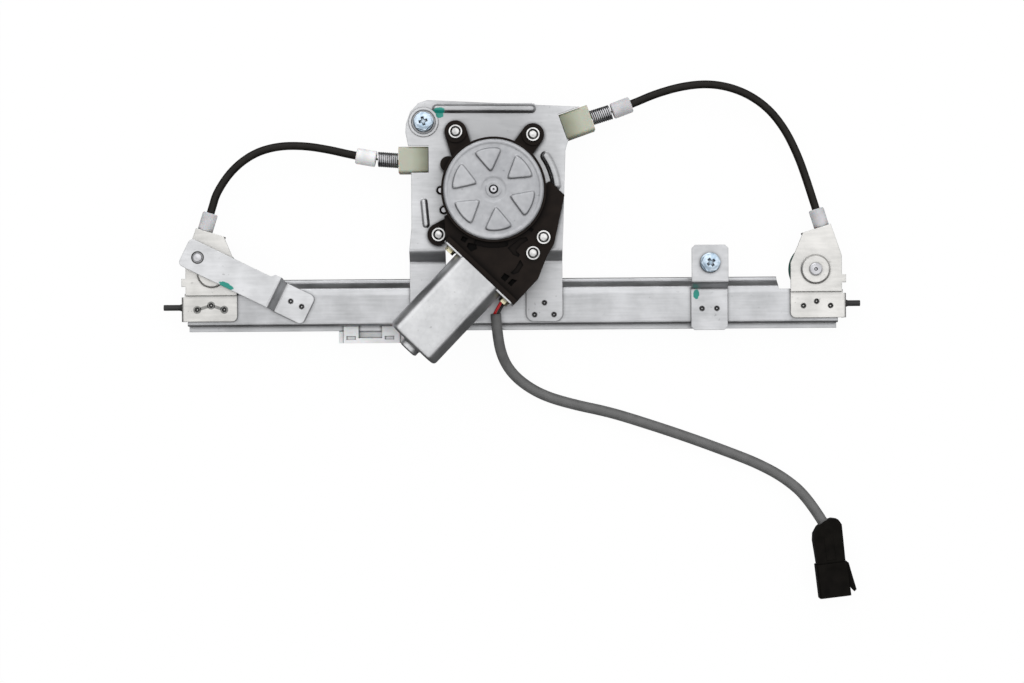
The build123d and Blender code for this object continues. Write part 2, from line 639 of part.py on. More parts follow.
def make_right_mounting_bracket():
    """The stepped bracket that carries the right bolt."""
    strip = stepped_sheet(-MOUNT_TOP, -MOUNT_STEP_TOP, MOUNT_STEP_LENGTH, -MOUNT_FOOT, MOUNT_WIDTH, BEND)
    strip = Rot(0, 0, -90) * strip
    middle = (MOUNT_TOP + MOUNT_FOOT) / 2
    plan = Pos(0, middle) * chamfer(Rectangle(MOUNT_WIDTH, MOUNT_TOP - MOUNT_FOOT).vertices(), MOUNT_CHAMFER)
    bracket = strip & slab(plan, 0, MOUNT_FACE + 1)
    bracket -= clinch_marks(MOUNT_CLINCHES)
    bracket -= disc(BOLT_RADIUS + SEAT_GAP, MOUNT_BACK - 1, MOUNT_FACE + 1, (0, BRACKET_BOLT[1]))
    return Pos(BRACKET_BOLT[0], 0, 0) * bracket


nut_bottom = MOUNT_BACK - NUT_HEIGHT
bolt_neck = BOLT_RADIUS - BOLT_NECK_EASE


def make_bolts():
    """The two flanged hex bolts, run in only part way so that they hook into the door."""
    seat = MOUNT_FACE + BOLT_SEAT_GAP
    head_bottom = seat + BOLT_FLANGE_HEIGHT
    head_top = head_bottom + BOLT_HEAD_HEIGHT
    end = seat - BOLT_LENGTH
    neck_bottom = nut_bottom - BOLT_NECK_BELOW_NUT
    bolt = turned(
        (0, end), (BOLT_RADIUS - BOLT_CHAMFER, end), (BOLT_RADIUS, end + BOLT_CHAMFER),
        (BOLT_RADIUS, neck_bottom), (bolt_neck, neck_bottom), (bolt_neck, seat),
        (BOLT_FLANGE_RADIUS, seat),
        (BOLT_FLANGE_RADIUS, seat + 0.7), (BOLT_FLANGE_RADIUS - 1.2, head_bottom), (0, head_bottom),
    )
    hexagon = RegularPolygon(BOLT_ACROSS_FLATS / 2, 6, major_radius=False)
    head = slab(hexagon, head_bottom, head_top)
    corner_radius = BOLT_ACROSS_FLATS / sqrt(3)
    crown = turned(
        (0, head_bottom), (corner_radius, head_bottom), (corner_radius, head_top - 0.7),
        (corner_radius - 1.6, head_top), (0, head_top),
    )
    bolt += head & crown
    cross = Box(5.6, 1.3, 3) + Box(1.3, 5.6, 3)
    bolt -= Pos(0, 0, head_top) * Rot(0, 0, 20) * cross
    return Part() + [Pos(*at) * bolt for at in (PLATE_BOLT, BRACKET_BOLT)]


def make_weld_nuts():
    """The hex weld nuts behind the plate and the right bracket."""
    hexagon = RegularPolygon(NUT_ACROSS_FLATS / 2, 6, major_radius=False)
    nut = slab(hexagon - Circle(bolt_neck + RUNNING_GAP), nut_bottom, MOUNT_BACK)
    return Part() + [Pos(*at) * nut for at in (PLATE_BOLT, BRACKET_BOLT)]


# Cable exits

def exit_point(turn, distance):
    """A point on the cable's line, at a distance from where it leaves the drum."""
    side = 90 if turn < 90 else -90
    return moved(moved((0, 0), turn + side, DRUM_CABLE_RADIUS), turn, distance)


class CableExit:
    """The line of one cable from the drum through its socket, spring and ferrule."""

    def __init__(self, turn, socket_middle, ways, lead_height):
        self.socket_way, self.spring_way, self.ferrule_way = ways
        self.lead_height = lead_height
        self.tangent = exit_point(turn, 0)
        middle = exit_point(turn, socket_middle)
        self.socket_in = moved(middle, self.socket_way, -SOCKET_LENGTH / 2)
        self.socket_out = moved(middle, self.socket_way, SOCKET_LENGTH / 2)
        self.spout_length = hypot(self.socket_in[0] - self.tangent[0], self.socket_in[1] - self.tangent[1])
        self.spout_way = degrees(
            atan2(self.socket_in[1] - self.tangent[1], self.socket_in[0] - self.tangent[0])
        )
        kink = radians(abs(self.ferrule_way - self.spring_way))
        ferrule_gap = SIDE_GAP + FERRULE_RADIUS * tan(kink)
        self.ferrule_in = moved(
            self.socket_out, self.spring_way, SPRING_COILS * SPRING_WIRE + SIDE_GAP + ferrule_gap
        )
        self.ferrule_out = moved(self.ferrule_in, self.ferrule_way, FERRULE_LENGTH)
        self.conduit_start = moved(self.ferrule_out, self.ferrule_way, -CONDUIT_DEPTH)
        self.conduit_lead = moved(self.ferrule_out, self.ferrule_way, CONDUIT_LEAD)


left_exit = CableExit(LEFT_EXIT, LEFT_SOCKET_MIDDLE, LEFT_WAYS, CABLE_HEIGHT - LEAD_RISE)
right_exit = CableExit(RIGHT_EXIT, RIGHT_SOCKET_MIDDLE, RIGHT_WAYS, CABLE_HEIGHT + LEAD_RISE)
exits = {-1: left_exit, 1: right_exit}


def make_socket(side):
    """The pale block in the plate's edge that the tension spring pushes against."""
    line = exits[side]
    block = Box(SOCKET_WIDTH, SOCKET_HEIGHT, SOCKET_LENGTH, align=ON_BASE)
    block = fillet(block.edges().filter_by(Axis.Z), SOCKET_RADIUS)
    bore = Cylinder(SPRING_RADIUS + 0.6, 4, align=ON_BASE)
    block -= Pos(0, 0, SOCKET_LENGTH - 2) * bore
    block -= Cylinder(CABLE_RADIUS + 0.8, 3 * SOCKET_LENGTH)
    return lying(line.socket_in, CABLE_HEIGHT, line.socket_way) * block


def make_spring(side):
    """The tension spring, wound close: its coils touch."""
    line = exits[side]
    half_wire = SPRING_WIRE / 2
    outer = SPRING_RADIUS - half_wire
    spring = Part()
    for coil in range(SPRING_COILS):
        middle = (coil + 0.5) * SPRING_WIRE
        crest = ThreePointArc(
            (outer, middle - half_wire), (SPRING_RADIUS, middle), (outer, middle + half_wire)
        )
        inside = Polyline(
            (outer, middle + half_wire), (outer - half_wire, middle + half_wire),
            (outer - half_wire, middle - half_wire), (outer, middle - half_wire),
        )
        spring += revolve(Plane.XZ * make_face([crest, inside]), Axis.Z)
    return lying(line.socket_out, CABLE_HEIGHT, line.spring_way) * Pos(0, 0, SIDE_GAP) * spring


def make_motor_ferrule(side):
    """The white sleeve between the spring and the conduit."""
    line = exits[side]
    conduit_bottom = FERRULE_LENGTH - CONDUIT_DEPTH - SEAT_GAP
    sleeve = turned(
        (CABLE_RADIUS + 0.5, 0), (FERRULE_RADIUS - 0.6, 0), (FERRULE_RADIUS, 0.8),
        (FERRULE_RADIUS, FERRULE_LENGTH - 0.8), (FERRULE_RADIUS - 0.8, FERRULE_LENGTH),
        (CONDUIT_RADIUS + SEAT_GAP, FERRULE_LENGTH), (CONDUIT_RADIUS + SEAT_GAP, conduit_bottom),
        (CABLE_RADIUS + 0.5, conduit_bottom),
    )
    return lying(line.ferrule_in, CABLE_HEIGHT, line.ferrule_way) * sleeve


def make_end_ferrule():
    """The white sleeve that seats a conduit in an end bracket's flange, in the bracket's frame."""
    conduit_bottom = END_FERRULE_LENGTH - CONDUIT_DEPTH - SEAT_GAP
    nose = 2.8 - SEAT_GAP
    sleeve = turned(
        (CABLE_RADIUS + 0.5, -PLATE_SHEET - 1.5), (nose, -PLATE_SHEET - 1.5), (nose, SEAT_GAP),
        (END_FERRULE_RADIUS, SEAT_GAP), (END_FERRULE_RADIUS, END_FERRULE_LENGTH - 0.8),
        (END_FERRULE_RADIUS - 0.8, END_FERRULE_LENGTH), (CONDUIT_RADIUS + SEAT_GAP, END_FERRULE_LENGTH),
        (CONDUIT_RADIUS + SEAT_GAP, conduit_bottom), (CABLE_RADIUS + 0.5, conduit_bottom),
    )
    return lying(seat_point, CABLE_HEIGHT, seat_up_turn) * sleeve


# Conduits and cables

def eased_path(points):
    """Straight runs joined by the largest arcs that they allow."""
    corners = [Vector(*p) for p in points]
    radii = []
    for before, corner, after in zip(corners, corners[1:], corners[2:]):
        arriving = corner - before
        leaving = after - corner
        half_turn = radians(arriving.get_angle(leaving)) / 2
        radii.append(0.45 * min(arriving.length, leaving.length) / tan(half_turn))
    return FilletPolyline(*corners, radius=radii), radii


def tube(path, outer, bore=0):
    """A round tube swept along a path."""
    section = Circle(outer) - Circle(bore) if bore else Circle(outer)
    return sweep(Plane(origin=path @ 0, z_dir=path % 0) * section, path)


def conduit_points(side):
    """The route of a conduit from its motor ferrule to its end ferrule."""
    line = exits[side]
    mouth = moved(seat_point, seat_up_turn, END_FERRULE_LENGTH)
    end_lead = moved(mouth, seat_up_turn, CONDUIT_LEAD)
    end = moved(mouth, seat_up_turn, -CONDUIT_DEPTH)
    route = LEFT_ROUTE if side < 0 else RIGHT_ROUTE
    plan = [line.conduit_start, line.conduit_lead, *route, *end_points([end_lead, end], side)]
    return [(x, y, CABLE_HEIGHT) for x, y in plan]


def make_conduit(side):
    """The black conduit that guides a cable between the motor and an end of the rail."""
    path, _ = eased_path(conduit_points(side))
    return tube(path, CONDUIT_RADIUS, CONDUIT_BORE)


def pulley_tangent():
    """Where the cable from the conduit's seat first meets the pulley, in the bracket's frame."""
    distance = hypot(*seat_point)
    towards = degrees(atan2(seat_point[1], seat_point[0]))
    return moved((0, 0), towards - degrees(acos(cable_bend / distance)), cable_bend)


def make_cable(side):
    """A steel cable: a lead off the drum, the stretch inside the conduit, and the run to the slider."""
    line = exits[side]
    stops = [
        (*line.tangent, line.lead_height), (*line.socket_in, CABLE_HEIGHT), (*line.socket_out, CABLE_HEIGHT),
        (*line.ferrule_in, CABLE_HEIGHT), (*line.conduit_start, CABLE_HEIGHT),
    ]
    cable = Part()
    for start, end in zip(stops, stops[1:]):
        way = Vector(*end) - Vector(*start)
        run = Cylinder(CABLE_RADIUS, way.length - SEAT_GAP, align=ON_BASE)
        cable += Plane(origin=start, z_dir=way) * run
    inside, _ = eased_path(conduit_points(side))
    cable += tube(inside, CABLE_RADIUS)
    seat, tangent, lowest = end_points([seat_point, pulley_tangent(), (0, -cable_bend)], side)
    centre = end_points([(0, 0)], side)[0]
    start = moved(seat, degrees(atan2(seat[1] - tangent[1], seat[0] - tangent[0])), 3.0)
    middle_turn = (atan2(tangent[1] - centre[1], side * (tangent[0] - centre[0])) - pi / 2) / 2
    halfway = (centre[0] + side * cable_bend * cos(middle_turn), centre[1] + cable_bend * sin(middle_turn))
    run_end = SLIDER_X + side * 0.5
    path = Polyline(start, tangent) + ThreePointArc(tangent, halfway, lowest)
    path += Line(lowest, (run_end, lowest[1]))
    path = Pos(0, 0, CABLE_HEIGHT) * path
    first = path.edges().sort_by(lambda e: (e @ 0 - Vector(*start, CABLE_HEIGHT)).length)[0]
    section = Plane(origin=first @ 0, z_dir=first % 0) * Circle(CABLE_RADIUS)
    return cable + sweep(section, Wire(path.edges()))


# Slider

cable_y = PULLEY_Y - cable_bend
slider_outer = rail_edge - CLAW_FOOT
holder_top = WEB_BACK - 1.2


def make_slider():
    """The nylon slider: a block inside the rail, claws round its lip and a tongue in its head."""
    inner_face = rail_flange + RAIL_SHEET + SLIDE_GAP
    block_top_y = cable_y - 4.0
    lip_back = LIP_FRONT - RAIL_SHEET - SLIDE_GAP
    body = outline(
        (slider_outer, SLIDER_BACK), (slider_outer, 7.0), (rail_edge - SLIDE_GAP, 7.0),
        (rail_edge - SLIDE_GAP, lip_back), (inner_face, lip_back), (inner_face, holder_top),
        (block_top_y, holder_top), (block_top_y, SLIDER_BACK),
    )
    across = Plane(origin=(0, 0, 0), x_dir=(0, 1, 0), z_dir=(1, 0, 0))
    slider = extrude(across * body, SLIDER_HALF, both=True)
    lip_top = LIP_FRONT + SLIDE_GAP
    claw = outline(
        (slider_outer, SLIDER_BACK), (slider_outer, CLAW_TOP), (rail_edge + CLAW_REACH, CLAW_TOP),
        (rail_edge + CLAW_REACH, lip_top), (rail_edge - SLIDE_GAP, lip_top),
        (rail_edge - SLIDE_GAP, SLIDER_BACK),
    )
    slider += extrude(across * claw, CLAW_OUTER, both=True)
    window_bottom = slider_outer + 4.0
    window = outline(
        (window_bottom, lip_back - 1.4), (window_bottom, CLAW_TOP + 1), (rail_flange - 0.1, CLAW_TOP + 1),
        (rail_flange - 0.1, lip_back - SLIDE_GAP), (rail_edge - SLIDE_GAP, lip_back - SLIDE_GAP),
        (rail_edge - SLIDE_GAP, lip_back - 1.4),
    )
    window_width = CLAW_INNER_RIGHT - CLAW_INNER_LEFT
    slider -= Pos(CLAW_INNER_LEFT, 0, 0) * extrude(across * window, window_width)
    for inner, outer in ((CLAW_INNER_LEFT, -CLAW_OUTER), (CLAW_INNER_RIGHT, CLAW_OUTER - 2.2)):
        slider -= Pos((inner + outer) / 2, slider_outer + 4.2, CLAW_TOP) * Box(7.4, 2.8, 3)
    holder = outline(
        (block_top_y - 1, SLIDER_BACK), (cable_y + 4.0, SLIDER_BACK), (cable_y + 4.0, holder_top),
        (block_top_y - 1, holder_top),
    )
    slider += extrude(across * holder, HOLDER_HALF, both=True)
    head_inside = RAIL_TOP - RAIL_SHEET
    tongue_back = HEAD_BACK + RAIL_SHEET + SLIDE_GAP
    tongue_front = HEAD_FRONT - RAIL_SHEET - SLIDE_GAP
    tongue = outline(
        (cable_y + 3.0, tongue_back), (head_inside - SLIDE_GAP, tongue_back),
        (head_inside - SLIDE_GAP, tongue_front), (cable_y + 3.0, tongue_front),
    )
    slider += extrude(across * tongue, TONGUE_HALF, both=True)
    channel = Pos(0, cable_y, CABLE_HEIGHT) * Rot(0, 90, 0)
    slot_size = 2 * CABLE_RADIUS + 0.9
    slider -= Pos(0, cable_y, CABLE_HEIGHT) * Box(
        3 * SLIDER_HALF, slot_size, 20, align=ON_BASE
    )
    slider -= channel * Cylinder(slot_size / 2, 3 * SLIDER_HALF)
    nipple_pocket = NIPPLE_RADIUS + 0.15
    slider -= channel * Cylinder(nipple_pocket, 2 * NIPPLE_LENGTH + 1.2)
    slider -= Pos(0, cable_y, CABLE_HEIGHT) * Box(
        2 * NIPPLE_LENGTH + 1.2, 2 * nipple_pocket, 20, align=ON_BASE
    )
    slider -= disc(GLASS_BUSH_RADIUS + SEAT_GAP / 2, 0, WEB_FRONT, (0, (inner_face + block_top_y) / 2))
    return Pos(SLIDER_X, 0, 0) * slider


def make_glass_bush():
    """The threaded brass bush that the glass is fixed to, flush with the slider's back."""
    at = (SLIDER_X, (rail_flange + RAIL_SHEET + SLIDE_GAP + cable_y - 4.0) / 2)
    bush = disc(GLASS_BUSH_RADIUS, SLIDER_BACK, holder_top - 0.5, at)
    return bush - disc(GLASS_BUSH_BORE, 0, holder_top + 1, at)


def make_nipples():
    """The two cable ends, side by side in the slider."""
    nipple = ring(NIPPLE_RADIUS, CABLE_RADIUS + SEAT_GAP, 0.2, NIPPLE_LENGTH)
    along_rail = Pos(SLIDER_X, cable_y, CABLE_HEIGHT) * Rot(0, 90, 0)
    return Part() + [along_rail * nipple, along_rail * Rot(180, 0, 0) * nipple]


# Motor plate

def socket_notch(side):
    """The opening in the plate's edge round a socket, as a tool to cut with."""
    line = exits[side]
    size = SOCKET_WIDTH + 2 * SIDE_GAP
    notch = Pos(0, 0, -SIDE_GAP) * Box(size, 60, SOCKET_LENGTH + 60, align=ON_BASE)
    return lying(line.socket_in, CABLE_HEIGHT, line.socket_way) * notch


def make_motor_plate():
    """The pressed plate that carries the gear motor, stepped down to two legs on the rail."""
    sheet = stepped_sheet(
        -PLATE_TOP_LEFT[1] - 5, -PLATE_STEP_TOP, PLATE_STEP_LENGTH, -PLATE_FOOT, THROUGH, PLATE_STEP_BEND
    )
    sheet = Rot(0, 0, -90) * sheet
    left_lobe = [
        (-58.5, 69.6), (-64.8, 62.8), (-68.2, 53.5), (-68.6, 46.4), (-66.6, 36.5), (PLATE_LEFT, 31.0),
    ]
    plan = outline(
        PLATE_TOP_LEFT, *left_lobe, (PLATE_LEFT, -28.0), (LEFT_LEG[0], PLATE_STEP_TOP),
        (LEFT_LEG[0], PLATE_FOOT), (LEFT_LEG[1], PLATE_FOOT), (LEFT_LEG[1], PLATE_STEP_TOP + 2),
        (RIGHT_LEG[0], PLATE_STEP_TOP + 2), (RIGHT_LEG[0], PLATE_FOOT), (RIGHT_LEG[1], PLATE_FOOT),
        (RIGHT_LEG[1], PLATE_STEP_TOP), (PLATE_RIGHT, -28.0), (54.9, 1.0), (56.0, 32.2), (58.6, 41.0),
        (77.0, 63.3), PLATE_TOP_RIGHT,
    )
    feet = plan.vertices().filter_by(lambda v: v.Y < PLATE_FOOT + 1)
    plan = fillet(feet, PLATE_FOOT_RADIUS)
    lobe = plan.vertices().filter_by(lambda v: v.X < -50 and v.Y > 40)
    plan = fillet(lobe, 2.6)
    plate = sheet & slab(plan, 0, MOUNT_FACE + 1)
    rib = SlotCenterToCenter(74, 5.4)
    plate += make_rib(Pos(-7.2, 65.0) * Rot(0, 0, -0.5) * rib)
    plate += make_rib(arc_rib_shape(ARC_RIB_WIDTH))
    plate += make_rib(Pos(*PLATE_BEAD) * Rot(0, 0, PLATE_BEAD_TURN) * SlotOverall(*PLATE_BEAD_SIZE))
    pad_ring = Circle(11.5) - Circle(9.4)
    plate += Pos(*PLATE_BOLT, MOUNT_FACE - 0.5) * extrude(pad_ring, 0.5 + RIB_HEIGHT / 2)
    plate -= disc(BOLT_RADIUS + SEAT_GAP, MOUNT_BACK - 1, MOUNT_FACE + 3, PLATE_BOLT)
    plate -= disc(SHAFT_OPENING, MOUNT_BACK - 1, MOUNT_FACE + 1)
    for at in EARS:
        plate -= disc(SCREW_RADIUS + SEAT_GAP, MOUNT_BACK - 1, MOUNT_FACE + 1, at)
    for angle, _ in HOUSING_PINS:
        at = moved((0, 0), angle, HOUSING_PIN_CIRCLE)
        plate -= disc(HOUSING_PIN_RADIUS + 0.6, MOUNT_BACK - 1, MOUNT_FACE + 1, at)
    for side in (-1, 1):
        plate -= socket_notch(side)
    return plate - clinch_marks(leg_clinches)


def arc_rib_shape(width):
    """The curved rib beside the cup, seen from the front."""
    return SlotArc(CenterArc((0, 0), ARC_RIB_RADIUS, 6.0, 28.0), width)


def make_rib(shape):
    """A pressed rib of the plate: its crest stands above the front face."""
    return extrude(Pos(0, 0, MOUNT_FACE - 0.2) * shape, RIB_HEIGHT + 0.2, taper=35)


# Drum, its housing and the output shaft

drum_flange = DRUM_CABLE_RADIUS + DRUM_FLANGE_RISE
housing_inside = drum_flange + HOUSING_ROOM
housing_radius = housing_inside + HOUSING_WALL
drum_groove = DRUM_CABLE_RADIUS - CABLE_RADIUS - SEAT_GAP
left_turns = [CABLE_HEIGHT - LEAD_RISE - TURN_PITCH * (n + 1) for n in range(TURNS_EACH)]
right_turns = [CABLE_HEIGHT + LEAD_RISE + TURN_PITCH * (n + 1) for n in range(TURNS_EACH)]


def make_drum_housing():
    """The cup behind the plate: floor with ribs, wall with a spout for each cable, and locating pins."""
    housing = disc(housing_radius, 0, MOUNT_BACK)
    for side in (-1, 1):
        line = exits[side]
        spout = Pos(0, 0, -SIDE_GAP - 0.2) * Box(
            9.0, 11.0, line.spout_length, align=(Align.CENTER, Align.CENTER, Align.MAX)
        )
        housing += lying(line.socket_in, CABLE_HEIGHT, line.spout_way) * spout
    for angle, rise in HOUSING_PINS:
        at = moved((0, 0), angle, HOUSING_PIN_CIRCLE)
        arm = Pos(HOUSING_PIN_CIRCLE / 2 + housing_radius / 2, 0, MOUNT_BACK) * Box(
            HOUSING_PIN_CIRCLE - housing_radius + 4, 9, 12, align=(Align.CENTER, Align.CENTER, Align.MAX)
        )
        housing += Rot(0, 0, angle) * arm
        housing += disc(6.2, MOUNT_BACK - 12, MOUNT_BACK, at)
        housing += disc(HOUSING_PIN_RADIUS, MOUNT_BACK - 1, MOUNT_FACE + rise, at)
        housing -= disc(HOUSING_PIN_RADIUS - 1.4, MOUNT_FACE - 1.5, MOUNT_FACE + 2, at)
    housing -= disc(housing_inside, HOUSING_FLOOR, MOUNT_BACK + 1)
    for side in (-1, 1):
        line = exits[side]
        bore = Box(4.6, 6.6, line.spout_length + 6, align=(Align.CENTER, Align.CENTER, Align.MAX))
        housing -= lying(line.socket_in, CABLE_HEIGHT, line.spout_way) * Pos(0, 0, 1) * bore
    housing += ring(SHAFT_RADIUS + 3.0, SHAFT_RADIUS + RUNNING_GAP, 0.8, DRUM_BOTTOM - SIDE_GAP)
    housing -= disc(SHAFT_RADIUS + RUNNING_GAP, 0.8, DRUM_BOTTOM)
    recess = Circle(housing_inside - 3) - Circle(SHAFT_RADIUS + 5)
    for spoke in range(8):
        recess -= Rot(0, 0, spoke * 45) * Rectangle(2 * housing_radius, 2.2)
    return housing - slab(recess, -1, 1.0)


def make_drum():
    """The grooved cable drum, hollow underneath, driven by the output shaft's flat sides."""
    groove = CABLE_RADIUS + SEAT_GAP
    bore = SHAFT_RADIUS + RUNNING_GAP
    drum = ring(drum_flange, bore, DRUM_BOTTOM, DRUM_TOP)
    band = ring(drum_flange + 1, drum_groove, min(left_turns) - groove, max(right_turns) + groove)
    drum -= band
    drum -= ring(drum_groove - 3.0, DRUM_HUB_RADIUS, DRUM_TOP - 8, DRUM_TOP + 1)
    drum -= ring(drum_groove - 3.0, DRUM_HUB_RADIUS, DRUM_BOTTOM - 1, DRUM_BOTTOM + 6)
    return drum


def make_drum_turns():
    """The turns of cable that stay on the drum, below and above the two leads."""
    turns = Part()
    for height in left_turns + right_turns:
        turns += Pos(0, 0, height) * Torus(DRUM_CABLE_RADIUS, CABLE_RADIUS)
    return turns


def make_output_shaft():
    """The shaft from the drum up through the worm wheel to the cover."""
    tip_top = GEARBOX_TOP + COVER_SHEET + 0.6
    wheel_top = WORM_HEIGHT + WHEEL_WIDTH / 2
    return turned(
        (0, 1.0), (SHAFT_RADIUS, 1.0), (SHAFT_RADIUS, wheel_top), (SHAFT_TIP_RADIUS, wheel_top + 1.5),
        (SHAFT_TIP_RADIUS, tip_top - 0.4), (SHAFT_TIP_RADIUS - 0.4, tip_top), (0.8, tip_top),
        (0.4, tip_top - 0.8), (0, tip_top - 0.8),
    )


# Worm wheel and its damper

wheel_pitch = WHEEL_TEETH * WHEEL_MODULE / 2
wheel_tip = wheel_pitch + WHEEL_MODULE
wheel_root = wheel_pitch - 1.2 * WHEEL_MODULE
damper_outer = wheel_root - 6.0


def make_worm_wheel():
    """The toothed rim with its web and three driving ribs that sit in the damper."""
    step = 2 * pi / WHEEL_TEETH
    points = []
    for tooth in range(WHEEL_TEETH):
        for radius, share in ((wheel_root, -0.3), (wheel_tip, -0.14), (wheel_tip, 0.14), (wheel_root, 0.3)):
            angle = (tooth + share) * step
            points.append((radius * cos(angle), radius * sin(angle)))
    bottom = WORM_HEIGHT - WHEEL_WIDTH / 2
    top = WORM_HEIGHT + WHEEL_WIDTH / 2
    wheel = slab(outline(*points), bottom, top)
    wheel -= disc(damper_outer + SEAT_GAP, bottom + 2.0, top + 1)
    wheel -= disc(SHAFT_RADIUS + SEAT_GAP, bottom - 1, top + 1)
    for rib in range(3):
        bar = Pos((damper_outer + WHEEL_HUB_RADIUS) / 2 + 1, 0, bottom + 1) * Box(
            damper_outer - WHEEL_HUB_RADIUS + 2, 3.0, WHEEL_WIDTH - 2, align=ON_BASE
        )
        wheel += Rot(0, 0, 120 * rib) * bar
    return wheel


def make_damper():
    """The rubber cushion between the wheel's ribs and the hub."""
    bottom = WORM_HEIGHT - WHEEL_WIDTH / 2 + 2.0 + SEAT_GAP
    damper = ring(damper_outer, WHEEL_HUB_RADIUS, bottom, WORM_HEIGHT + WHEEL_WIDTH / 2 - 0.6)
    for rib in range(3):
        slot = Pos(damper_outer / 2 + WHEEL_HUB_RADIUS / 2, 0, WORM_HEIGHT) * Box(
            damper_outer, 3.0 + 2 * SEAT_GAP, 2 * WHEEL_WIDTH
        )
        damper -= Rot(0, 0, 120 * rib) * slot
    return damper


def make_wheel_hub():
    """The steel driver plate that takes the damper's torque to the shaft."""
    bottom = WORM_HEIGHT - WHEEL_WIDTH / 2 + 2.0 + SEAT_GAP
    top = WORM_HEIGHT + WHEEL_WIDTH / 2
    return ring(WHEEL_HUB_RADIUS - SEAT_GAP, SHAFT_RADIUS + SEAT_GAP / 2, bottom, top - 1.0)


# Gear housing and cover

worm_foot = moved((0, 0), MOTOR_TURN - 90, WORM_OFFSET)
flange_middle = moved(worm_foot, MOTOR_TURN, FLANGE_FACE)
motor_frame = lying(worm_foot, WORM_HEIGHT, MOTOR_TURN)
flange_thick = 2 * (WORM_HEIGHT - FLANGE_BOTTOM_HEIGHT)
grommet_at = Pos(GROMMET_ACROSS, GROMMET_HEIGHT - WORM_HEIGHT, FLANGE_FACE - 3.4)
grommet_notch = grommet_at * Pos(0, 0, -10) * Box(
    GROMMET_WIDTH + 2 * SEAT_GAP, GROMMET_THICK + 2 * SEAT_GAP, GROMMET_LENGTH + 10 + SEAT_GAP,
    align=ON_BASE,
)


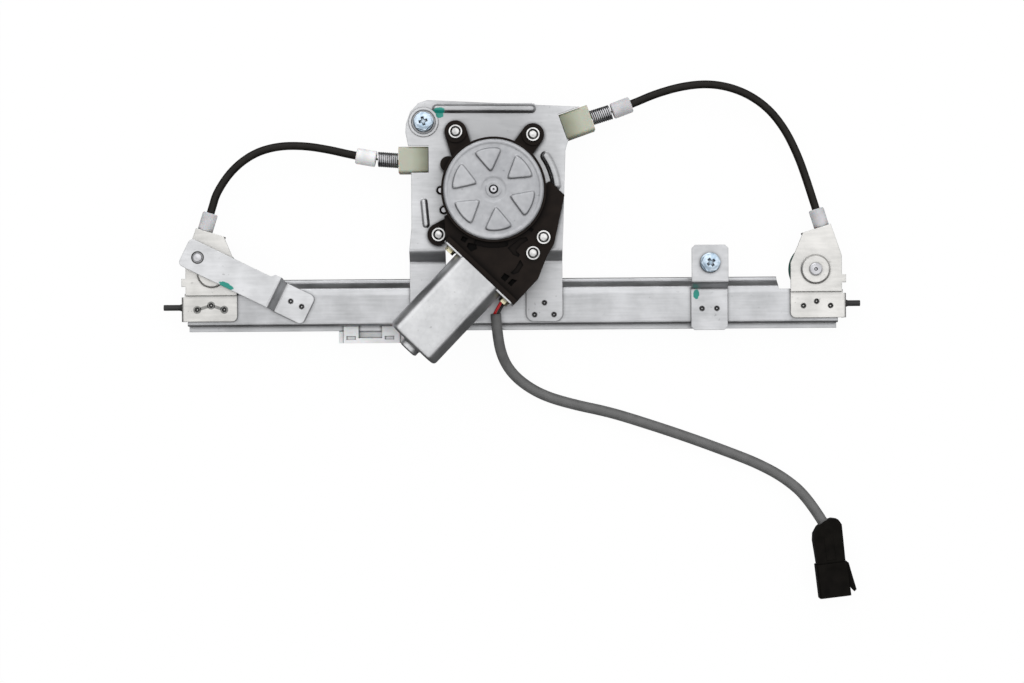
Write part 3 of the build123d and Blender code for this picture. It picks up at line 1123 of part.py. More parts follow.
def make_gear_housing():
    """The black moulded housing: wheel cup, screw ears, worm tunnel and the ribbed motor side."""
    housing = turned(
        (0, MOUNT_FACE), (CUP_BASE_RADIUS, MOUNT_FACE), (CUP_BASE_RADIUS, CUP_FLARE),
        (CUP_RADIUS, CUP_FLARE + CUP_RADIUS - CUP_BASE_RADIUS), (CUP_RADIUS, GEARBOX_TOP), (0, GEARBOX_TOP),
    )
    housing += disc(CUP_LOBE_RADIUS, MOUNT_FACE, CUP_LOBE_TOP, CUP_LOBE)
    for at, turn in zip(EARS, EAR_ARM_TURNS):
        arm = Box(EAR_ARM_LENGTH, 2 * EAR_RADIUS, EAR_TOP - 2 - MOUNT_FACE, align=FROM_END)
        housing += Pos(*at, MOUNT_FACE) * Rot(0, 0, turn) * arm
        housing += disc(EAR_RADIUS, MOUNT_FACE, EAR_TOP - 1, at)
    left_end = moved(flange_middle, MOTOR_TURN + 90, FLANGE_HALF)
    right_end = moved(flange_middle, MOTOR_TURN - 90, FLANGE_HALF)
    body = outline(
        left_end, right_end, moved(right_end, MOTOR_TURN, 3.0), *reversed(RIGHT_SIDE), (0, 0), (-38.0, -20.0)
    )
    housing += slab(body, MOUNT_FACE, BODY_TOP)
    hollow = offset(body, -BODY_WALL)
    for step in range(-3, 4):
        web = Pos((step - 1) * WEB_PITCH, 0) * Rectangle(WEB_THICK, THROUGH)
        hollow -= Pos(*worm_foot) * Rot(0, 0, MOTOR_TURN) * web
    hollow -= Pos(*worm_foot) * Rot(0, 0, MOTOR_TURN) * Rectangle(THROUGH, TUNNEL_WIDTH)
    hollow -= Circle(CUP_BASE_RADIUS)
    for at in LUGS:
        hollow -= Pos(*at) * Circle(BUSH_RADIUS + 3.0)
    housing -= slab(hollow, MOUNT_FACE - 1, HOLLOW_TOP)
    housing += motor_frame * Pos(0, 0, FLANGE_FACE) * Cylinder(TUNNEL_RADIUS, TUNNEL_LENGTH, align=ON_BASE)
    flange = motor_frame * Pos(0, 0, FLANGE_FACE) * Box(
        2 * FLANGE_HALF, flange_thick, 4.0, align=ON_BASE
    )
    housing += flange
    for at in LUGS:
        housing += disc(BUSH_RADIUS + 1.8, MOUNT_FACE, LUG_TOP - 1, at)
    for corners in POCKETS:
        housing -= slab(outline(*corners), BODY_TOP - POCKET_DEPTH, BODY_TOP + 1)
    shelf_radius, shelf_width, shelf_start, shelf_angle = ARC_SHELF
    arc_shelf = SlotArc(CenterArc((0, 0), shelf_radius, shelf_start, shelf_angle), shelf_width)
    for shelf in (*[outline(*corners) for corners in SHELVES], arc_shelf):
        housing -= slab(shelf, BODY_TOP - SHELF_DEPTH, BODY_TOP + 1)
    housing -= disc(CUP_BORE, MOUNT_FACE + CUP_FLOOR, GEARBOX_TOP + 1)
    housing -= disc(COVER_RADIUS + SEAT_GAP, GEARBOX_TOP - COVER_SHEET, GEARBOX_TOP + 1)
    housing += disc(SHAFT_OPENING - SEAT_GAP, MOUNT_BACK, MOUNT_FACE + CUP_FLOOR + 1)
    housing += ring(SHAFT_RADIUS + 3.5, SHAFT_RADIUS, MOUNT_FACE, WORM_HEIGHT - WHEEL_WIDTH / 2 - SIDE_GAP)
    housing -= disc(SHAFT_RADIUS + RUNNING_GAP, MOUNT_BACK - 1, WORM_HEIGHT)
    worm_room = motor_frame * Pos(0, 0, FLANGE_FACE - 1) * Cylinder(
        WORM_ROOM_RADIUS, 1 - FLANGE_FACE + WORM_ROOM_END, align=ON_BASE
    )
    housing -= worm_room
    for at in (*EARS, *LUGS):
        housing -= disc(BUSH_RADIUS + SEAT_GAP, MOUNT_FACE - 1, GEARBOX_TOP, at)
    for side in (-1, 1):
        hole = motor_frame * Pos(side * FLANGE_SCREWS, 0, FLANGE_FACE) * Cylinder(SCREW_RADIUS + SEAT_GAP, 30)
        housing -= hole
    housing -= motor_frame * Pos(0, 0, FLANGE_FACE) * Box(
        2 * FLANGE_HALF + 2, 2 * GEARBOX_TOP, 6.0, align=(Align.CENTER, Align.CENTER, Align.MAX)
    )
    housing -= extrude(Pos(0, 0, MOUNT_FACE) * arc_rib_shape(ARC_RIB_WIDTH + 1), RIB_HEIGHT + SIDE_GAP)
    return housing - motor_frame * grommet_notch


def make_gear_cover():
    """The pressed cover disc with six raised pads about the shaft's end."""
    top = GEARBOX_TOP
    cover = ring(COVER_RADIUS, SHAFT_TIP_RADIUS + 1.2, top - COVER_SHEET, top)
    rim = ring(COVER_RADIUS, COVER_RADIUS - 2.0, top - 0.2, top + 0.7)
    cover += rim
    cover += ring(9.0, 8.2, top - 0.2, top + 0.4)
    cover += ring(SHAFT_TIP_RADIUS + 2.0, SHAFT_TIP_RADIUS + 0.9, top - COVER_SHEET, top + 0.6)
    pad = outline(
        (PAD_INNER * cos(radians(8)), -PAD_INNER * sin(radians(8))),
        (PAD_OUTER * cos(radians(PAD_HALF_ANGLE)), -PAD_OUTER * sin(radians(PAD_HALF_ANGLE))),
        (PAD_OUTER, 0),
        (PAD_OUTER * cos(radians(PAD_HALF_ANGLE)), PAD_OUTER * sin(radians(PAD_HALF_ANGLE))),
        (PAD_INNER * cos(radians(8)), PAD_INNER * sin(radians(8))),
    )
    pad = fillet(pad.vertices(), 2.2)
    raised = extrude(Pos(0, 0, top - 0.3) * pad, 0.3 + COVER_RISE, taper=25)
    for angle in COVER_PADS:
        cover += Rot(0, 0, angle) * raised
    return cover


def make_ear_bushes():
    """The steel bushes that keep the plastic ears and lugs from being crushed."""
    bushes = [Pos(*at) * ring(BUSH_RADIUS, BUSH_BORE, MOUNT_FACE, EAR_TOP) for at in EARS]
    bushes += [Pos(*at) * ring(BUSH_RADIUS, BUSH_BORE, MOUNT_FACE, LUG_TOP) for at in LUGS]
    return Part() + bushes


def make_motor_screws():
    """The screws through the ears into the plate, and the short ones in the lugs."""
    screws = Part()
    for at, top in [(at, EAR_TOP) for at in EARS] + [(at, LUG_TOP) for at in LUGS]:
        bottom = MOUNT_BACK - 3.0 if top == EAR_TOP else MOUNT_FACE
        screws += Pos(*at) * turned(
            (0, bottom), (SCREW_RADIUS, bottom), (SCREW_RADIUS, top - 3.0), (SCREW_HEAD_RADIUS, top - 3.0),
            (SCREW_HEAD_RADIUS, top - 1.0), (SCREW_HEAD_RADIUS - 1.0, top - 0.4), (0, top - 0.2),
        )
    return screws


# Motor

can_start = FLANGE_FACE - CAN_FLANGE
can_end = can_start - CAN_LENGTH


def can_section(shrink=0.0):
    """The flattened round section of the motor can."""
    radius = CAN_RADIUS - shrink
    half = CAN_HALF_THICKNESS - shrink
    flat = sqrt(radius ** 2 - half ** 2)
    section = make_face([
        ThreePointArc((flat, -half), (radius, 0), (flat, half)), Line((flat, half), (-flat, half)),
        ThreePointArc((-flat, half), (-radius, 0), (-flat, -half)), Line((-flat, -half), (flat, -half)),
    ])
    return fillet(section.vertices(), CAN_CORNER - shrink)


def make_motor_can():
    """The deep-drawn steel can with its flange and rear bearing boss."""
    can = slab(can_section(), can_end, FLANGE_FACE - SEAT_GAP)
    can = fillet(can.edges().group_by(Axis.Z)[0], 3.0)
    can += Pos(0, 0, can_end + 0.5) * turned(
        (0, 0), (CAN_BOSS_RADIUS + 1.5, 0), (CAN_BOSS_RADIUS, -1.5), (CAN_BOSS_RADIUS, 0.5 - CAN_BOSS_LENGTH),
        (CAN_BOSS_RADIUS - 1.5, -CAN_BOSS_LENGTH - 0.5), (0, -CAN_BOSS_LENGTH - 0.5),
    )
    ears = RectangleRounded(2 * FLANGE_HALF, flange_thick, 4.0)
    can += slab(ears, can_start, FLANGE_FACE - SEAT_GAP)
    can -= slab(can_section(CAN_WALL), can_end + CAN_WALL, FLANGE_FACE + 1)
    can -= disc(BEARING_RADIUS + SEAT_GAP, can_end - CAN_BOSS_LENGTH + 2.0, can_end + 5)
    for side in (-1, 1):
        can -= disc(SCREW_RADIUS + SEAT_GAP, can_start - 1, FLANGE_FACE + 1, (side * FLANGE_SCREWS, 0))
    return motor_frame * (can - grommet_notch)


def make_flange_screws():
    """The two hex-head screws that hold the motor to the gear housing."""
    screws = Part()
    for side in (-1, 1):
        head = slab(RegularPolygon(3.5, 6, major_radius=False), -3.6, -1.0)
        screw = head + disc(4.6, -1.1, -SEAT_GAP) + disc(SCREW_RADIUS, -SEAT_GAP, 14)
        screws += motor_frame * Pos(side * FLANGE_SCREWS, 0, can_start) * screw
    return screws


def make_magnets():
    """The two arc magnets against the can's round sides."""
    magnets = Part()
    front = can_start - 12
    rear = can_end + 12
    for side in (-1, 1):
        arc = Circle(MAGNET_RADIUS) - Circle(MAGNET_BORE)
        half_width = MAGNET_WEDGE * tan(radians(MAGNET_HALF_ANGLE))
        wedge = outline((0, 0), (side * MAGNET_WEDGE, -half_width), (side * MAGNET_WEDGE, half_width))
        magnets += slab(arc & wedge, rear, front)
    return motor_frame * magnets


def make_armature_core():
    """The slotted stack of laminations."""
    stack = Circle(ARMATURE_RADIUS) - Circle(ARMATURE_SHAFT + SEAT_GAP / 2)
    for slot in range(8):
        stack -= Rot(0, 0, 45 * slot) * Pos(ARMATURE_RADIUS - 2.5, 0) * Rectangle(5.2, 1.6)
    return motor_frame * slab(stack, can_end + 16, can_start - 16)


def make_windings():
    """The copper coil heads at both ends of the stack."""
    heads = Part()
    core_rear = can_end + 16
    core_front = can_start - 16
    for start, end in ((core_rear - 5.5, core_rear - SEAT_GAP), (core_front + SEAT_GAP, core_front + 5.5)):
        heads += turned(
            (ARMATURE_SHAFT + 0.6, start), (ARMATURE_RADIUS - 3.0, start),
            (ARMATURE_RADIUS - 1.2, (start + end) / 2), (ARMATURE_RADIUS - 3.0, end),
            (ARMATURE_SHAFT + 0.6, end),
        )
    return motor_frame * heads


commutator_start = can_start - 8.5
commutator_end = can_start + 0.5


def make_commutator():
    """The segmented commutator in front of the windings."""
    shape = Circle(5.5) - Circle(ARMATURE_SHAFT + SEAT_GAP / 2)
    for gap in range(8):
        shape -= Rot(0, 0, 45 * gap) * Pos(5.4, 0) * Rectangle(1.2, 0.5)
    return motor_frame * slab(shape, commutator_start, commutator_end)


def make_armature_shaft():
    """The motor shaft, which carries the worm at its front end."""
    worm_start = -WORM_HALF_LENGTH
    worm_end = WORM_HALF_LENGTH
    pitch = pi * WHEEL_MODULE
    points = [(0, can_end - CAN_BOSS_LENGTH + 3.0), (ARMATURE_SHAFT, can_end - CAN_BOSS_LENGTH + 3.0)]
    points += [(ARMATURE_SHAFT, worm_start)]
    place = worm_start
    while place + pitch < worm_end:
        points += [
            (WORM_ROOT_RADIUS, place + 0.2 * pitch), (WORM_TIP_RADIUS, place + 0.4 * pitch),
            (WORM_TIP_RADIUS, place + 0.6 * pitch), (WORM_ROOT_RADIUS, place + 0.8 * pitch),
        ]
        place += pitch
    points += [(ARMATURE_SHAFT - 0.3, worm_end), (ARMATURE_SHAFT - 0.3, 17.5), (0, 17.5)]
    return motor_frame * turned(*points)


def make_motor_bearings():
    """The sintered bushes at the rear boss and at the front of the gear housing."""
    rear = ring(BEARING_RADIUS, ARMATURE_SHAFT + RUNNING_GAP, can_end - CAN_BOSS_LENGTH + 2.5, can_end + 3.5)
    front = ring(6.0 - SEAT_GAP, ARMATURE_SHAFT + RUNNING_GAP, FLANGE_FACE + 4, FLANGE_FACE + 11)
    return Part() + [motor_frame * rear, motor_frame * front]


def make_brush_holder():
    """The brush card across the mouth of the can."""
    card = can_section(CAN_WALL + SEAT_GAP) - Circle(6.4)
    return motor_frame * slab(card, can_start - 6.0, can_start - 4.0)


def make_brushes():
    """Two carbon brushes on the card, one each side of the commutator."""
    brush = Pos(5.5 + SEAT_GAP, 0, 0) * Box(7.0, 5.0, 4.0, align=FROM_END)
    return Part() + [
        motor_frame * Pos(0, 0, can_start - 4.0 + SEAT_GAP) * Rot(0, 0, turn) * brush
        for turn in (0, 180)
    ]


# Feed cable and plug

plug_frame = lying(PLUG_POINT, PLUG_HEIGHT, PLUG_TURN)
grommet_face = (motor_frame * grommet_at).position


def make_feed_wire(side):
    """One of the two wires between the motor's grommet and the sleeve."""
    mouth = Vector(*SLEEVE_START)
    way_in = (Vector(*SLEEVE_ROUTE[0]) - mouth).normalized()
    shift = Vector(side * WIRE_SPREAD, 0, 0)
    route = [Vector(*point) + shift for point in WIRE_ROUTE]
    start = grommet_face - motor_frame.x_dir * side * WIRE_SPREAD
    route = [start, start - motor_frame.z_dir * WIRE_STUB, *route, mouth + shift]
    path, _ = eased_path([tuple(point) for point in (*route, route[-1] + way_in * WIRE_IN_SLEEVE)])
    return tube(path, WIRE_RADIUS)


def make_grommet():
    """The rubber block that the wires leave the motor by."""
    block = Box(GROMMET_WIDTH, GROMMET_THICK, GROMMET_LENGTH, align=ON_BASE)
    return motor_frame * grommet_at * Pos(0, 0, SEAT_GAP) * block


def make_sleeve():
    """The grey sleeve round the two wires, from the motor to the plug."""
    path, radii = eased_path([SLEEVE_START, *SLEEVE_ROUTE])
    print("sleeve length", round(path.length, 1), "radii", [round(r) for r in radii])
    return tube(path, SLEEVE_RADIUS, SLEEVE_BORE)


def make_plug_housing():
    """The two-way plug: a rounded cable end, a wider mouth and a latch along one side."""
    neck = extrude(Plane.XZ * outline(*PLUG_NECK), PLUG_NECK_THICK / 2, both=True)
    neck = fillet(neck.edges().filter_by(lambda e: e.center().Z < 3.5), 1.0)
    body = Pos(0, 0, PLUG_NECK_LENGTH) * Box(
        PLUG_BODY_WIDTH, PLUG_THICK, PLUG_BODY_LENGTH, align=ON_BASE
    )
    body = fillet(body.edges().filter_by(Axis.Z), 2.4)
    plug = neck + body
    plug += extrude(Plane.XZ * outline(*PLUG_LATCH), 4.5, both=True)
    plug += Pos(0, 0, PLUG_NECK_LENGTH + PLUG_BODY_LENGTH) * Box(5.4, 3.0, 8.0)
    mouth = Pos(0, 0, PLUG_NECK_LENGTH + PLUG_MOUTH) * Box(
        PLUG_BODY_WIDTH - 4.0, PLUG_THICK - 4.0, 40, align=ON_BASE
    )
    plug -= mouth
    plug += Pos(0, PLUG_NECK_THICK / 2 - 1.0, 14) * Box(
        7.0, 2.4, 18, align=ON_BASE
    )
    last = Vector(*SLEEVE_ROUTE[-1])
    way = (last - Vector(*SLEEVE_ROUTE[-2])).normalized()
    entry = Plane(origin=last + way * SIDE_GAP, z_dir=way) * Cylinder(
        SLEEVE_RADIUS + SEAT_GAP, 20, align=(Align.CENTER, Align.CENTER, Align.MAX)
    )
    return plug_frame * plug - entry


def make_plug_lock():
    """The sliding lock plate inside the plug's mouth."""
    lock = Pos(0, 0, PLUG_NECK_LENGTH + PLUG_MOUTH + SEAT_GAP) * Box(
        PLUG_BODY_WIDTH - 4.6, 4.0, 12, align=ON_BASE
    )
    for side in (-1, 1):
        lock -= Pos(side * 5.2, 0, 0) * Box(3.2, 1.6, THROUGH)
    return plug_frame * lock


def make_terminals():
    """The two blade terminals in the plug."""
    blade = Pos(0, 0, PLUG_NECK_LENGTH + PLUG_MOUTH + SEAT_GAP) * Box(
        2.8, 0.8, 17, align=ON_BASE
    )
    return plug_frame * (Part() + [Pos(side * 5.2, 0, 0) * blade for side in (-1, 1)])


# Write every piece to its own file

pieces = {
    "guide_rail": make_guide_rail(),
    "motor_plate": make_motor_plate(),
    "left_end_bracket": place_at_end(make_end_bracket(), -1),
    "right_end_bracket": place_at_end(make_end_bracket(), 1),
    "left_pulley": place_at_end(make_pulley(), -1),
    "right_pulley": place_at_end(make_pulley(), 1),
    "left_pulley_pin": place_at_end(make_pulley_pin(), -1),
    "right_pulley_pin": place_at_end(make_pulley_pin(), 1),
    "left_buffer": place_at_end(make_buffer(LEFT_TAIL), -1),
    "right_buffer": place_at_end(make_buffer(RIGHT_TAIL), 1),
    "left_mounting_arm": make_left_arm(),
    "arm_stud": make_arm_stud(),
    "right_mounting_bracket": make_right_mounting_bracket(),
    "mounting_bolts": make_bolts(),
    "weld_nuts": make_weld_nuts(),
    "slider": make_slider(),
    "glass_bush": make_glass_bush(),
    "cable_nipples": make_nipples(),
    "left_cable_socket": make_socket(-1),
    "right_cable_socket": make_socket(1),
    "left_tension_spring": make_spring(-1),
    "right_tension_spring": make_spring(1),
    "left_motor_ferrule": make_motor_ferrule(-1),
    "right_motor_ferrule": make_motor_ferrule(1),
    "left_end_ferrule": place_at_end(make_end_ferrule(), -1),
    "right_end_ferrule": place_at_end(make_end_ferrule(), 1),
    "left_conduit": make_conduit(-1),
    "right_conduit": make_conduit(1),
    "left_cable": make_cable(-1),
    "right_cable": make_cable(1),
    "drum_housing": make_drum_housing(),
    "cable_drum": make_drum(),
    "drum_cable_turns": make_drum_turns(),
    "output_shaft": make_output_shaft(),
    "worm_wheel": make_worm_wheel(),
    "wheel_damper": make_damper(),
    "wheel_hub": make_wheel_hub(),
    "gear_housing": make_gear_housing(),
    "gear_cover": make_gear_cover(),
    "ear_bushes": make_ear_bushes(),
    "motor_screws": make_motor_screws(),
    "motor_can": make_motor_can(),
    "flange_screws": make_flange_screws(),
    "magnets": make_magnets(),
    "armature_core": make_armature_core(),
    "armature_windings": make_windings(),
    "commutator": make_commutator(),
    "armature_shaft": make_armature_shaft(),
    "motor_bearings": make_motor_bearings(),
    "brush_holder": make_brush_holder(),
    "brushes": make_brushes(),
    "red_wire": make_feed_wire(-1),
    "black_wire": make_feed_wire(1),
    "wire_grommet": make_grommet(),
    "harness_sleeve": make_sleeve(),
    "plug_housing": make_plug_housing(),
    "plug_lock": make_plug_lock(),
    "plug_terminals": make_terminals(),
}

os.makedirs("parts", exist_ok=True)
for name, piece in pieces.items():
    export_step(piece, f"parts/{name}.step")
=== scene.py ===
from math import atan2, cos, degrees, exp, log, pi, radians, sin

import bmesh
import bpy
from mathutils import Euler, Matrix, Vector


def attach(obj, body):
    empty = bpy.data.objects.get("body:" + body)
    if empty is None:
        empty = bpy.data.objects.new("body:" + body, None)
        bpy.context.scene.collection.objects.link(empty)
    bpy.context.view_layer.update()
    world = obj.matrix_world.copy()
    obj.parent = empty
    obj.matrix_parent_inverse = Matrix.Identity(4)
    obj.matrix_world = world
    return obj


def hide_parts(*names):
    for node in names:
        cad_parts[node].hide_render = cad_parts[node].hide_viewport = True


# Window regulator: its finishes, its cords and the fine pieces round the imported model.
# Sizes in this file are millimetres until mm() turns them into metres.

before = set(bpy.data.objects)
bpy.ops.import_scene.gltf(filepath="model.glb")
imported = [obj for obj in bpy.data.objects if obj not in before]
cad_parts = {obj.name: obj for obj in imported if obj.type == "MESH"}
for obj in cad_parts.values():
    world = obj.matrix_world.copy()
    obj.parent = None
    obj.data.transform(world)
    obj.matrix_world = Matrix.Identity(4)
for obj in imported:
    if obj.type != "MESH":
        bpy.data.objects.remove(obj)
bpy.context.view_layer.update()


def mm(*values):
    """Millimetres as metres: one number, or a point."""
    return values[0] / 1000 if len(values) == 1 else Vector(values) / 1000


# Camera: straight over the regulator, turned as the photograph is

CAMERA_PLACE = (13.33, -116.78, 1800.0)
CAMERA_TURN = -0.4
CAMERA_LENS = 80.0

camera_data = bpy.data.cameras.new("camera")
camera_data.sensor_width = 36.0
camera_data.lens = CAMERA_LENS
camera = bpy.data.objects.new("camera", camera_data)
camera.location = mm(*CAMERA_PLACE)
camera.rotation_euler = Euler((0, 0, radians(CAMERA_TURN)))
bpy.context.scene.collection.objects.link(camera)
bpy.context.scene.camera = camera
bpy.context.scene.view_settings.view_transform = "Standard"


# Node trees

OPEN_SHARES = (0.42, 0.92)      # painted crease shade: shares of open space where it is darkest, and where the colour is full
DAB_GRAIN = 420.0
DAB_RAGGED = 0.7                # how far the edge of a dab of paint wanders
DAB_EDGE = (1.0, 0.86)          # from outside to inside, as shares of its half sizes


def add(tree, kind, inputs=None, **properties):
    """A shader node with its properties and inputs; an input given as a socket is linked."""
    made = tree.nodes.new("ShaderNode" + kind)
    for name, value in properties.items():
        setattr(made, name, value)
    for name, value in (inputs or {}).items():
        if isinstance(value, bpy.types.NodeSocket):
            tree.links.new(value, made.inputs[name])
        else:
            made.inputs[name].default_value = value
    return made


def join(tree, shader, **inputs):
    """Link sockets to a shader's inputs, named with underscores for spaces."""
    for name, value in inputs.items():
        tree.links.new(value, shader.inputs[name.replace("_", " ")])


def start_finish(name, metallic, roughness):
    """A new material: its tree, its shader and the place on the object."""
    finish = bpy.data.materials.new(name)
    finish.use_nodes = True
    tree = finish.node_tree
    shader = tree.nodes["Principled BSDF"]
    shader.inputs["Metallic"].default_value = metallic
    shader.inputs["Roughness"].default_value = roughness
    return finish, tree, shader, add(tree, "TexCoord").outputs["Object"]


def noise(tree, place, scale, stretch=(1, 1, 1), detail=3):
    """Noise over the object, with its pattern squeezed along each axis."""
    mapped = add(tree, "Mapping", {"Vector": place, "Scale": stretch})
    made = add(tree, "TexNoise", {"Vector": mapped.outputs[0], "Scale": scale, "Detail": detail})
    return made.outputs[0]


def spread(tree, value, low, high, start=0.0, end=1.0):
    """A value from low..high mapped to start..end."""
    return add(tree, "MapRange", {0: value, 1: low, 2: high, 3: start, 4: end}).outputs[0]


def ramp(tree, factor, *stops):
    """A colour from stops of place and colour."""
    made = add(tree, "ValToRGB", {0: factor})
    elements = made.color_ramp.elements
    while len(elements) < len(stops):
        elements.new(0.5)
    for element, (place, colour) in zip(elements, stops):
        element.position = place
        element.color = (*colour, 1.0)
    return made.outputs[0]


def grey(level):
    return (level, level, level)


def math(tree, operation, first, second=0.0):
    return add(tree, "Math", {0: first, 1: second}, operation=operation).outputs[0]


MIX_COLOURS = (6, 7)            # the mix node's sockets for two colours
MIX_RESULT = 2


def mixed(tree, factor, first, second):
    """Two colours mixed by a factor."""
    made = add(tree, "Mix", data_type="RGBA")
    for index, value in zip((0, *MIX_COLOURS), (factor, first, second)):
        if isinstance(value, bpy.types.NodeSocket):
            tree.links.new(value, made.inputs[index])
        else:
            made.inputs[index].default_value = value
    return made.outputs[MIX_RESULT]


def bumped(tree, height, strength, distance, edge=0.0):
    """A normal from a height pattern, over edges that are rounded a little."""
    made = add(tree, "Bump", {"Height": height, "Strength": strength, "Distance": distance})
    if edge:
        rounded = add(tree, "Bevel", {"Radius": edge}, samples=4)
        tree.links.new(rounded.outputs[0], made.inputs["Normal"])
    return made.outputs[0]


def shaded(tree, colour, share):
    """A colour times a share."""
    return add(tree, "VectorMath", {0: colour, "Scale": share}, operation="SCALE").outputs[0]


def painted_crease_shade(tree, colour, reach, darkest):
    """Painted shade: a colour that turns dark where another surface comes close."""
    open_share = add(tree, "AmbientOcclusion", {"Distance": mm(reach)}, samples=6).outputs["AO"]
    return shaded(tree, colour, spread(tree, open_share, *OPEN_SHARES, darkest, 1.0))


def patch(tree, place, centre, half, turn):
    """A mask with ragged edges over a small area: a dab of paint."""
    offset = add(tree, "VectorMath", {0: place, 1: centre}, operation="SUBTRACT")
    level = add(
        tree, "VectorRotate", {"Vector": offset.outputs[0], "Angle": radians(-turn)}, rotation_type="Z_AXIS"
    )
    share = (1 / half[0], 1 / half[1], 0)
    scaled = add(tree, "VectorMath", {0: level.outputs[0], 1: share}, operation="MULTIPLY")
    ragged = add(tree, "TexNoise", {"Vector": place, "Scale": DAB_GRAIN, "Detail": 4})
    shifted = add(
        tree, "MixRGB", {0: DAB_RAGGED, 1: scaled.outputs[0], 2: ragged.outputs[1]}, blend_type="ADD"
    )
    middle = grey(DAB_RAGGED / 2)
    length = add(tree, "VectorMath", {0: shifted.outputs[0], 1: middle}, operation="DISTANCE")
    return spread(tree, length.outputs["Value"], *DAB_EDGE)


# Finishes

CLOUD = (0.3, 0.7)              # where most of a noise pattern's values lie
FINE_BUMP = 0.0002              # heights of a finish's fine relief, in metres
SHEET_BUMP = 0.0004
STREAKS = (60, 420, 60)         # a sheet's rolling streaks, along X
STREAK_SHARE = 0.25             # in a sheet's tone, the rest is mottle
TONES = (0.36, 0.62)            # where a sheet's tone is dark, and where light
SPECK_SCALE = 310.0
SPECKS = (0.70, 0.78)           # a noise's values from clean sheet to a speck
SPECK_SHADE = 0.45
SHEET_GRAIN = 260.0
SHEET_CREASE_SHADE = (3.0, 0.10)      # painted crease shade: reach and darkest share
MIDDLE_SHADE_FADE = (20, 66)          # painted shade: from the middle, where a plate's darkened middle starts and ends to fade
GREEN_PAINT = (0.004, 0.24, 0.19, 1)
PLATING_CLOUD = 240.0
PLATING_GRAIN = 900.0
# Painted crease shade on plating: reach and darkest share.
PLATING_CREASE_SHADE = (2.4, 0.06)
MOULDED_CLOUD = 130.0
# Darkest share of the painted crease shade on moulded parts.
MOULDED_CREASE_SHADE = 0.12
RIDGE_SHADING = (0.15, 0.75)           # painted shade and highlight: where a winding's groove is dark, and where its crest is light
NYLON_SHADE_TONES = (                 # painted shade: from the dark, shaded hollow end to the lit solid end
    (0.0, (0.15, 0.155, 0.10)), (0.30, (0.24, 0.25, 0.175)), (0.62, (0.34, 0.355, 0.265)),
    (1.0, (0.42, 0.435, 0.35)),
)


def steel(name, dark, light, rough, streak=STREAKS, blotch=46.0, edge=0.0009, paint=(), middle=1.0):
    """Zinc-coated sheet: a soft mottle, faint streaks and small dark specks, with painted shade in each
    crease and, for a middle share under 1, painted shade near X = 0.
    """
    finish, tree, shader, place = start_finish(name, 1.0, rough[0])
    streaks = noise(tree, place, 1.0, streak, detail=4)
    mottle = noise(tree, place, blotch, detail=5)
    mottle_share = math(tree, "MULTIPLY", mottle, 1 - STREAK_SHARE)
    tone = math(tree, "ADD", math(tree, "MULTIPLY", streaks, STREAK_SHARE), mottle_share)
    colour = ramp(tree, tone, (TONES[0], dark), (TONES[1], light))
    specks = spread(tree, noise(tree, place, SPECK_SCALE, detail=2), *SPECKS)
    speck_colour = (*[SPECK_SHADE * channel for channel in dark], 1)
    colour = mixed(tree, math(tree, "MULTIPLY", specks, 0.5), colour, speck_colour)
    # Painted shade: darker near X = 0 by the middle share, fading out sideways.
    sideways = math(tree, "ABSOLUTE", add(tree, "SeparateXYZ", {0: place}).outputs[0])
    fade_start, fade_end = (mm(distance) for distance in MIDDLE_SHADE_FADE)
    colour = shaded(tree, colour, spread(tree, sideways, fade_start, fade_end, middle, 1.0))
    # Painted shade where another surface comes close.
    colour = painted_crease_shade(tree, colour, *SHEET_CREASE_SHADE)
    metal = 1.0
    for centre, half, turn in paint:
        mask = patch(tree, place, mm(*centre), (mm(half[0]), mm(half[1])), turn)
        colour = mixed(tree, mask, colour, GREEN_PAINT)
        metal = math(tree, "MULTIPLY", metal, math(tree, "SUBTRACT", 1.0, mask))
    join(tree, shader, Base_Color=colour, Roughness=spread(tree, mottle, *CLOUD, *rough))
    if paint:
        join(tree, shader, Metallic=metal)
    height = math(tree, "ADD", math(tree, "MULTIPLY", streaks, 0.5), noise(tree, place, SHEET_GRAIN))
    join(tree, shader, Normal=bumped(tree, height, 0.10, SHEET_BUMP, edge))
    return finish


def plated(name, dark, light, rough, edge=0.0002):
    """Bright plating on a fastener or a turned piece, with painted shade in each crease."""
    finish, tree, shader, place = start_finish(name, 1.0, rough[0])
    cloud = noise(tree, place, PLATING_CLOUD, detail=4)
    colour = ramp(tree, cloud, (CLOUD[0], dark), (CLOUD[1], light))
    # Painted shade where another surface comes close.
    colour = painted_crease_shade(tree, colour, *PLATING_CREASE_SHADE)
    join(tree, shader, Base_Color=colour, Roughness=spread(tree, cloud, *CLOUD, *rough))
    join(tree, shader, Normal=bumped(tree, noise(tree, place, PLATING_GRAIN), 0.05, FINE_BUMP, edge))
    return finish


def moulded(
    name, dark, light, rough, grain=1400.0, depth=0.12, edge=0.0003, soft=0.0, sheen=0.5, crease_shade=0.0
):
    """Moulded plastic or rubber with a fine grain, and painted shade in each deep crease when a shade reach
    is given.
    """
    finish, tree, shader, place = start_finish(name, 0.0, rough[0])
    shader.inputs["Subsurface Weight"].default_value = soft
    shader.inputs["Subsurface Scale"].default_value = 0.004
    shader.inputs["Specular IOR Level"].default_value = sheen
    cloud = noise(tree, place, MOULDED_CLOUD, detail=5)
    colour = ramp(tree, cloud, (CLOUD[0], dark), (CLOUD[1], light))
    # Painted shade where another surface comes close, if a reach is given.
    if crease_shade:
        colour = painted_crease_shade(tree, colour, crease_shade, MOULDED_CREASE_SHADE)
    join(tree, shader, Base_Color=colour, Roughness=spread(tree, cloud, *CLOUD, *rough))
    fine = noise(tree, place, grain, detail=2)
    join(tree, shader, Normal=bumped(tree, fine, depth, FINE_BUMP, edge))
    return finish


